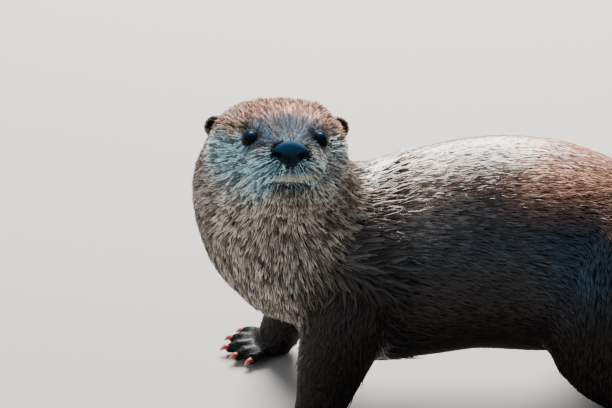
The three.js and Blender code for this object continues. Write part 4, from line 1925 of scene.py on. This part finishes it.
    def _shape(
        self, lock: Lock, roots: Array, normals: Array, lie: Array, trim: Array, chance: np.random.Generator
    ) -> tuple[Array, Array, Array]:
        """Draws every tuft: rings of three corners that end in a point.

        Args:
            lock: the kind of lock.
            roots: where the tufts stand.
            normals: the skin's normals there.
            lie: the way each tuft points.
            trim: the share of its full length that each tuft has.
            chance: the source of random numbers.

        Returns:
            The corners and the way they face, each an array of tufts by corners by three numbers, and
            each tuft's shade.
        """
        count = len(roots)
        length = lock.length * MM * trim * chance.uniform(0.7, 1.25, count)
        width = lock.width * MM * chance.uniform(0.75, 1.2, count)
        lift = lock.lift * chance.uniform(0.55, 1.5, count)
        sway = lock.sway * chance.normal(0.0, 0.5, count)
        side = np.cross(normals, lie)
        tufts = Tufts(roots, normals, lie, side, length, lift, sway, lock.droop)
        pull, family = self._gather(lock, tufts, chance)
        rings = []
        for level in lock.cut.value:
            line = tufts.line(level) + pull * level**1.6
            line -= normals * (self.root_depth if level == 0.0 else 0.0)
            half = width * 0.5 * (0.8 + 0.9 * level - 1.55 * level**2)
            rings += [
                line - side * half[:, None],
                line + side * half[:, None],
                line + normals * (half * 0.75)[:, None],
            ]
        rings.append(tufts.line(1.0) + pull)
        tilt = chance.normal(0.0, self.tilt, (2, count, 1))
        facing = unit(normals + lie * (tilt[0] + lock.lift) + side * tilt[1])
        faces = [facing - side * lock.relief, facing + side * lock.relief, facing] * len(lock.cut.value)
        shade = 0.5 + (0.7 * family + 0.3 * chance.uniform(0.0, 1.0, count) - 0.5) * lock.contrast
        shape = above_floor(np.stack(rings, axis=1))
        return shape, unit(np.stack([*faces, facing], axis=1)), np.maximum(shade, 0.0)

    def _gather(self, lock: Lock, tufts: Tufts, chance: np.random.Generator) -> tuple[Array, Array]:
        """Draws the tips of neighbouring tufts together, as wet fur does.

        Args:
            lock: the kind of lock.
            tufts: the tufts.
            chance: the source of random numbers.

        Returns:
            How far each tip is drawn, and a shade that neighbours share.
        """
        tip = tufts.line(1.0)
        if lock.clump <= 0.0:
            return np.zeros_like(tip), chance.uniform(0.0, 1.0, len(tip))
        member = self._clumps(lock, tufts.roots, chance)
        tally = np.bincount(member)[:, None]
        shared = np.stack([np.bincount(member, weights=tip[:, axis]) for axis in range(3)], axis=1) / tally
        pull = (shared[member] - tip) * lock.clump
        if lock.strand > 0.0:
            across = np.sum(pull * tufts.side, axis=1, keepdims=True)
            pull = tufts.side * np.clip(across, -self.longest_pull, self.longest_pull)
        return pull, chance.uniform(0.0, 1.0, len(tally))[member]

    def _clumps(self, lock: Lock, roots: Array, chance: np.random.Generator) -> Array:
        """Sorts tufts into cubes of the body, or into strands of the face that fan out from the nose.

        Args:
            lock: the kind of lock.
            roots: where the tufts stand.
            chance: the source of random numbers.

        Returns:
            The number of each tuft's clump.
        """
        shift = chance.uniform(0.0, 1.0, 3)
        if lock.strand > 0.0:
            x, y, z = self.anatomy.head.local(roots).T
            y, z = y - NOSE_SIDE, z - NOSE_LEVEL
            ray = np.floor(np.arctan2(z, y) / self.strand_angle + shift[0])
            reach = np.sqrt((x - self.strand_start) ** 2 + y**2 + z**2)
            cells = np.stack([ray, np.floor(reach / lock.strand + 0.618 * ray)], axis=1)
        else:
            cells = np.floor(roots / (lock.cell * MM) + shift)
        return np.unique(cells.astype(np.int64), axis=0, return_inverse=True)[1].ravel()

    def _mesh(
        self, name: str, lock: Lock, shape: Array, facing: Array, chart: Array, masks: dict[str, Array]
    ) -> None:
        """Writes tufts into one mesh with its attributes and its map for baking.

        Args:
            name: the piece's name.
            lock: the kind of lock.
            shape: the corners of each tuft.
            facing: the way each corner faces.
            chart: each tuft's place on the map.
            masks: the markings of each tuft, and its shade.
        """
        count, corners = shape.shape[:2]
        levels = len(lock.cut.value)
        last, tip = 3 * levels - 3, corners - 1
        faces = [(2, 1, 0), *tube_faces(3, levels), *((last + i, last + (i + 1) % 3, tip) for i in range(3))]
        sizes = np.array([len(face) for face in faces])
        flat = np.array([corner for face in faces for corner in face])
        mesh = bpy.data.meshes.new(name)
        mesh.vertices.add(count * corners)
        mesh.loops.add(count * len(flat))
        mesh.polygons.add(count * len(faces))
        mesh.vertices.foreach_set("co", shape.astype(np.float32).ravel())
        loops = (np.arange(count)[:, None] * corners + flat[None, :]).ravel()
        mesh.loops.foreach_set("vertex_index", loops.astype(np.int32))
        starts = (np.arange(count)[:, None] * len(flat) + (np.cumsum(sizes) - sizes)[None, :]).ravel()
        mesh.polygons.foreach_set("loop_start", starts.astype(np.int32))
        mesh.polygons.foreach_set("use_smooth", np.ones(count * len(faces), dtype=bool))
        mesh.update(calc_edges=True)
        steps = np.array(lock.cut.value)[:, None]
        # The ridge corner is lifted toward the tip's tone as a painted highlight; the side corners stay near
        # the dark root as painted shade.
        along = np.append(steps * [self.edge, self.edge, 1.0 - self.ridge] + [0.0, 0.0, self.ridge], 1.0)
        across = np.append(np.tile([0.0, 1.0, 0.5], levels), 0.5)
        marks = {key: np.repeat(values, corners) for key, values in masks.items()}
        put_attributes(mesh, {"along": np.tile(along, count), **marks})
        spots = np.stack([across, along], axis=1)[flat] * self.patch
        places = chart[:, None, :] + spots[None, :, :]
        mesh.uv_layers.new(name="OFBake").data.foreach_set("uv", places.astype(np.float32).ravel())
        mesh.normals_split_custom_set_from_vertices(facing.reshape(-1, 3))
        mesh.materials.append(lock.finish().material())
        finish_piece(place(name, mesh))


# ------------------------------------------------------------------ studio


@dataclass(frozen=True)
class Lamp:
    """A square soft light, placed from the point that it faces."""

    name: str
    offset: tuple[float, float, float]
    size: float
    power: float
    colour: Colour

    def build(self, aim: Array) -> None:
        """Sets the light up, facing the aim."""
        data = bpy.data.lights.new(self.name, "AREA")
        data.size, data.energy, data.color = self.size, self.power, self.colour
        light = place(self.name, data)
        light.location = Vector(aim) + Vector(self.offset)
        light.rotation_euler = (Vector(aim) - light.location).to_track_quat("-Z", "Y").to_euler()


@dataclass(frozen=True)
class Studio:
    """The floor, the lights and the camera."""

    elevation: float = 28.0
    distance: float = 3.0
    view_width: float = 0.4533333
    sensor: float = 36.0
    aim_from_head: tuple[float, float, float] = (0.0202, 0.0625, -0.0635)
    floor_size: float = 14.0
    floor_paint: FloorPaint = FloorPaint("StudioFloor", 0.85, (0.385, 0.376, 0.367))
    air: Colour = (0.92, 0.95, 1.0)
    air_strength: float = 0.25
    lamps: tuple[Lamp, ...] = (
        Lamp("key", (0.15, 1.7, 1.65), 1.4, 318.0, (1.0, 0.955, 0.90)),
        Lamp("fill", (-2.3, -2.0, 1.4), 2.2, 36.0, (0.88, 0.95, 1.0)),
        Lamp("side", (-2.2, 0.6, 0.9), 1.4, 6.0, (1.0, 0.98, 0.95)),
    )

    def build(self) -> None:
        """Sets the studio up round a point beside and under the head."""
        low, high = (np.array(corner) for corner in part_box("head"))
        aim = (low + high) / 2.0 + np.array(self.aim_from_head)
        self._floor()
        self._world()
        for lamp in self.lamps:
            lamp.build(aim)
        self._camera(aim)

    def _floor(self) -> None:
        """A pale floor, far larger than the view."""
        deselect()
        bpy.ops.mesh.primitive_plane_add(size=self.floor_size, location=(0.0, 0.0, 0.0))
        floor = bpy.context.active_object
        floor.name = "floor"
        floor.data.materials.append(self.floor_paint.material())

    def _world(self) -> None:
        """A soft light from all round."""
        world = bpy.data.worlds.new("StudioWorld")
        world.use_nodes = True
        background = world.node_tree.nodes["Background"]
        background.inputs["Color"].default_value = (*self.air, 1.0)
        background.inputs["Strength"].default_value = self.air_strength
        bpy.context.scene.world = world

    def _camera(self, aim: Array) -> None:
        """A long lens that looks down at the animal's side."""
        rise = math.radians(self.elevation)
        away = Vector((0.0, -math.cos(rise), math.sin(rise))) * self.distance
        data = bpy.data.cameras.new("camera")
        data.sensor_width = self.sensor
        data.lens = self.distance * self.sensor / self.view_width
        data.clip_end = 50.0
        camera = place("camera", data)
        camera.location = Vector(aim) + away
        camera.rotation_euler = (-away).to_track_quat("-Z", "Y").to_euler()
        bpy.context.scene.camera = camera


def main() -> None:
    """Builds the otter from the skin outwards."""
    logging.basicConfig(level=logging.INFO, format="%(name)s: %(message)s")
    Studio().build()
    anatomy = Anatomy(HeadFrame())
    markings = Markings()
    eyes = Eyes(anatomy)
    skin = Skin(anatomy, markings)
    skin.build(eyes)
    Nose(anatomy).build()
    ears = Ears(anatomy, markings)
    ears.build()
    Claws().build()
    Whiskers(anatomy).build(skin.surface.tree())
    Coat(anatomy, markings, eyes).build(skin.surface, ears)


if __name__ == "__main__":
    main()
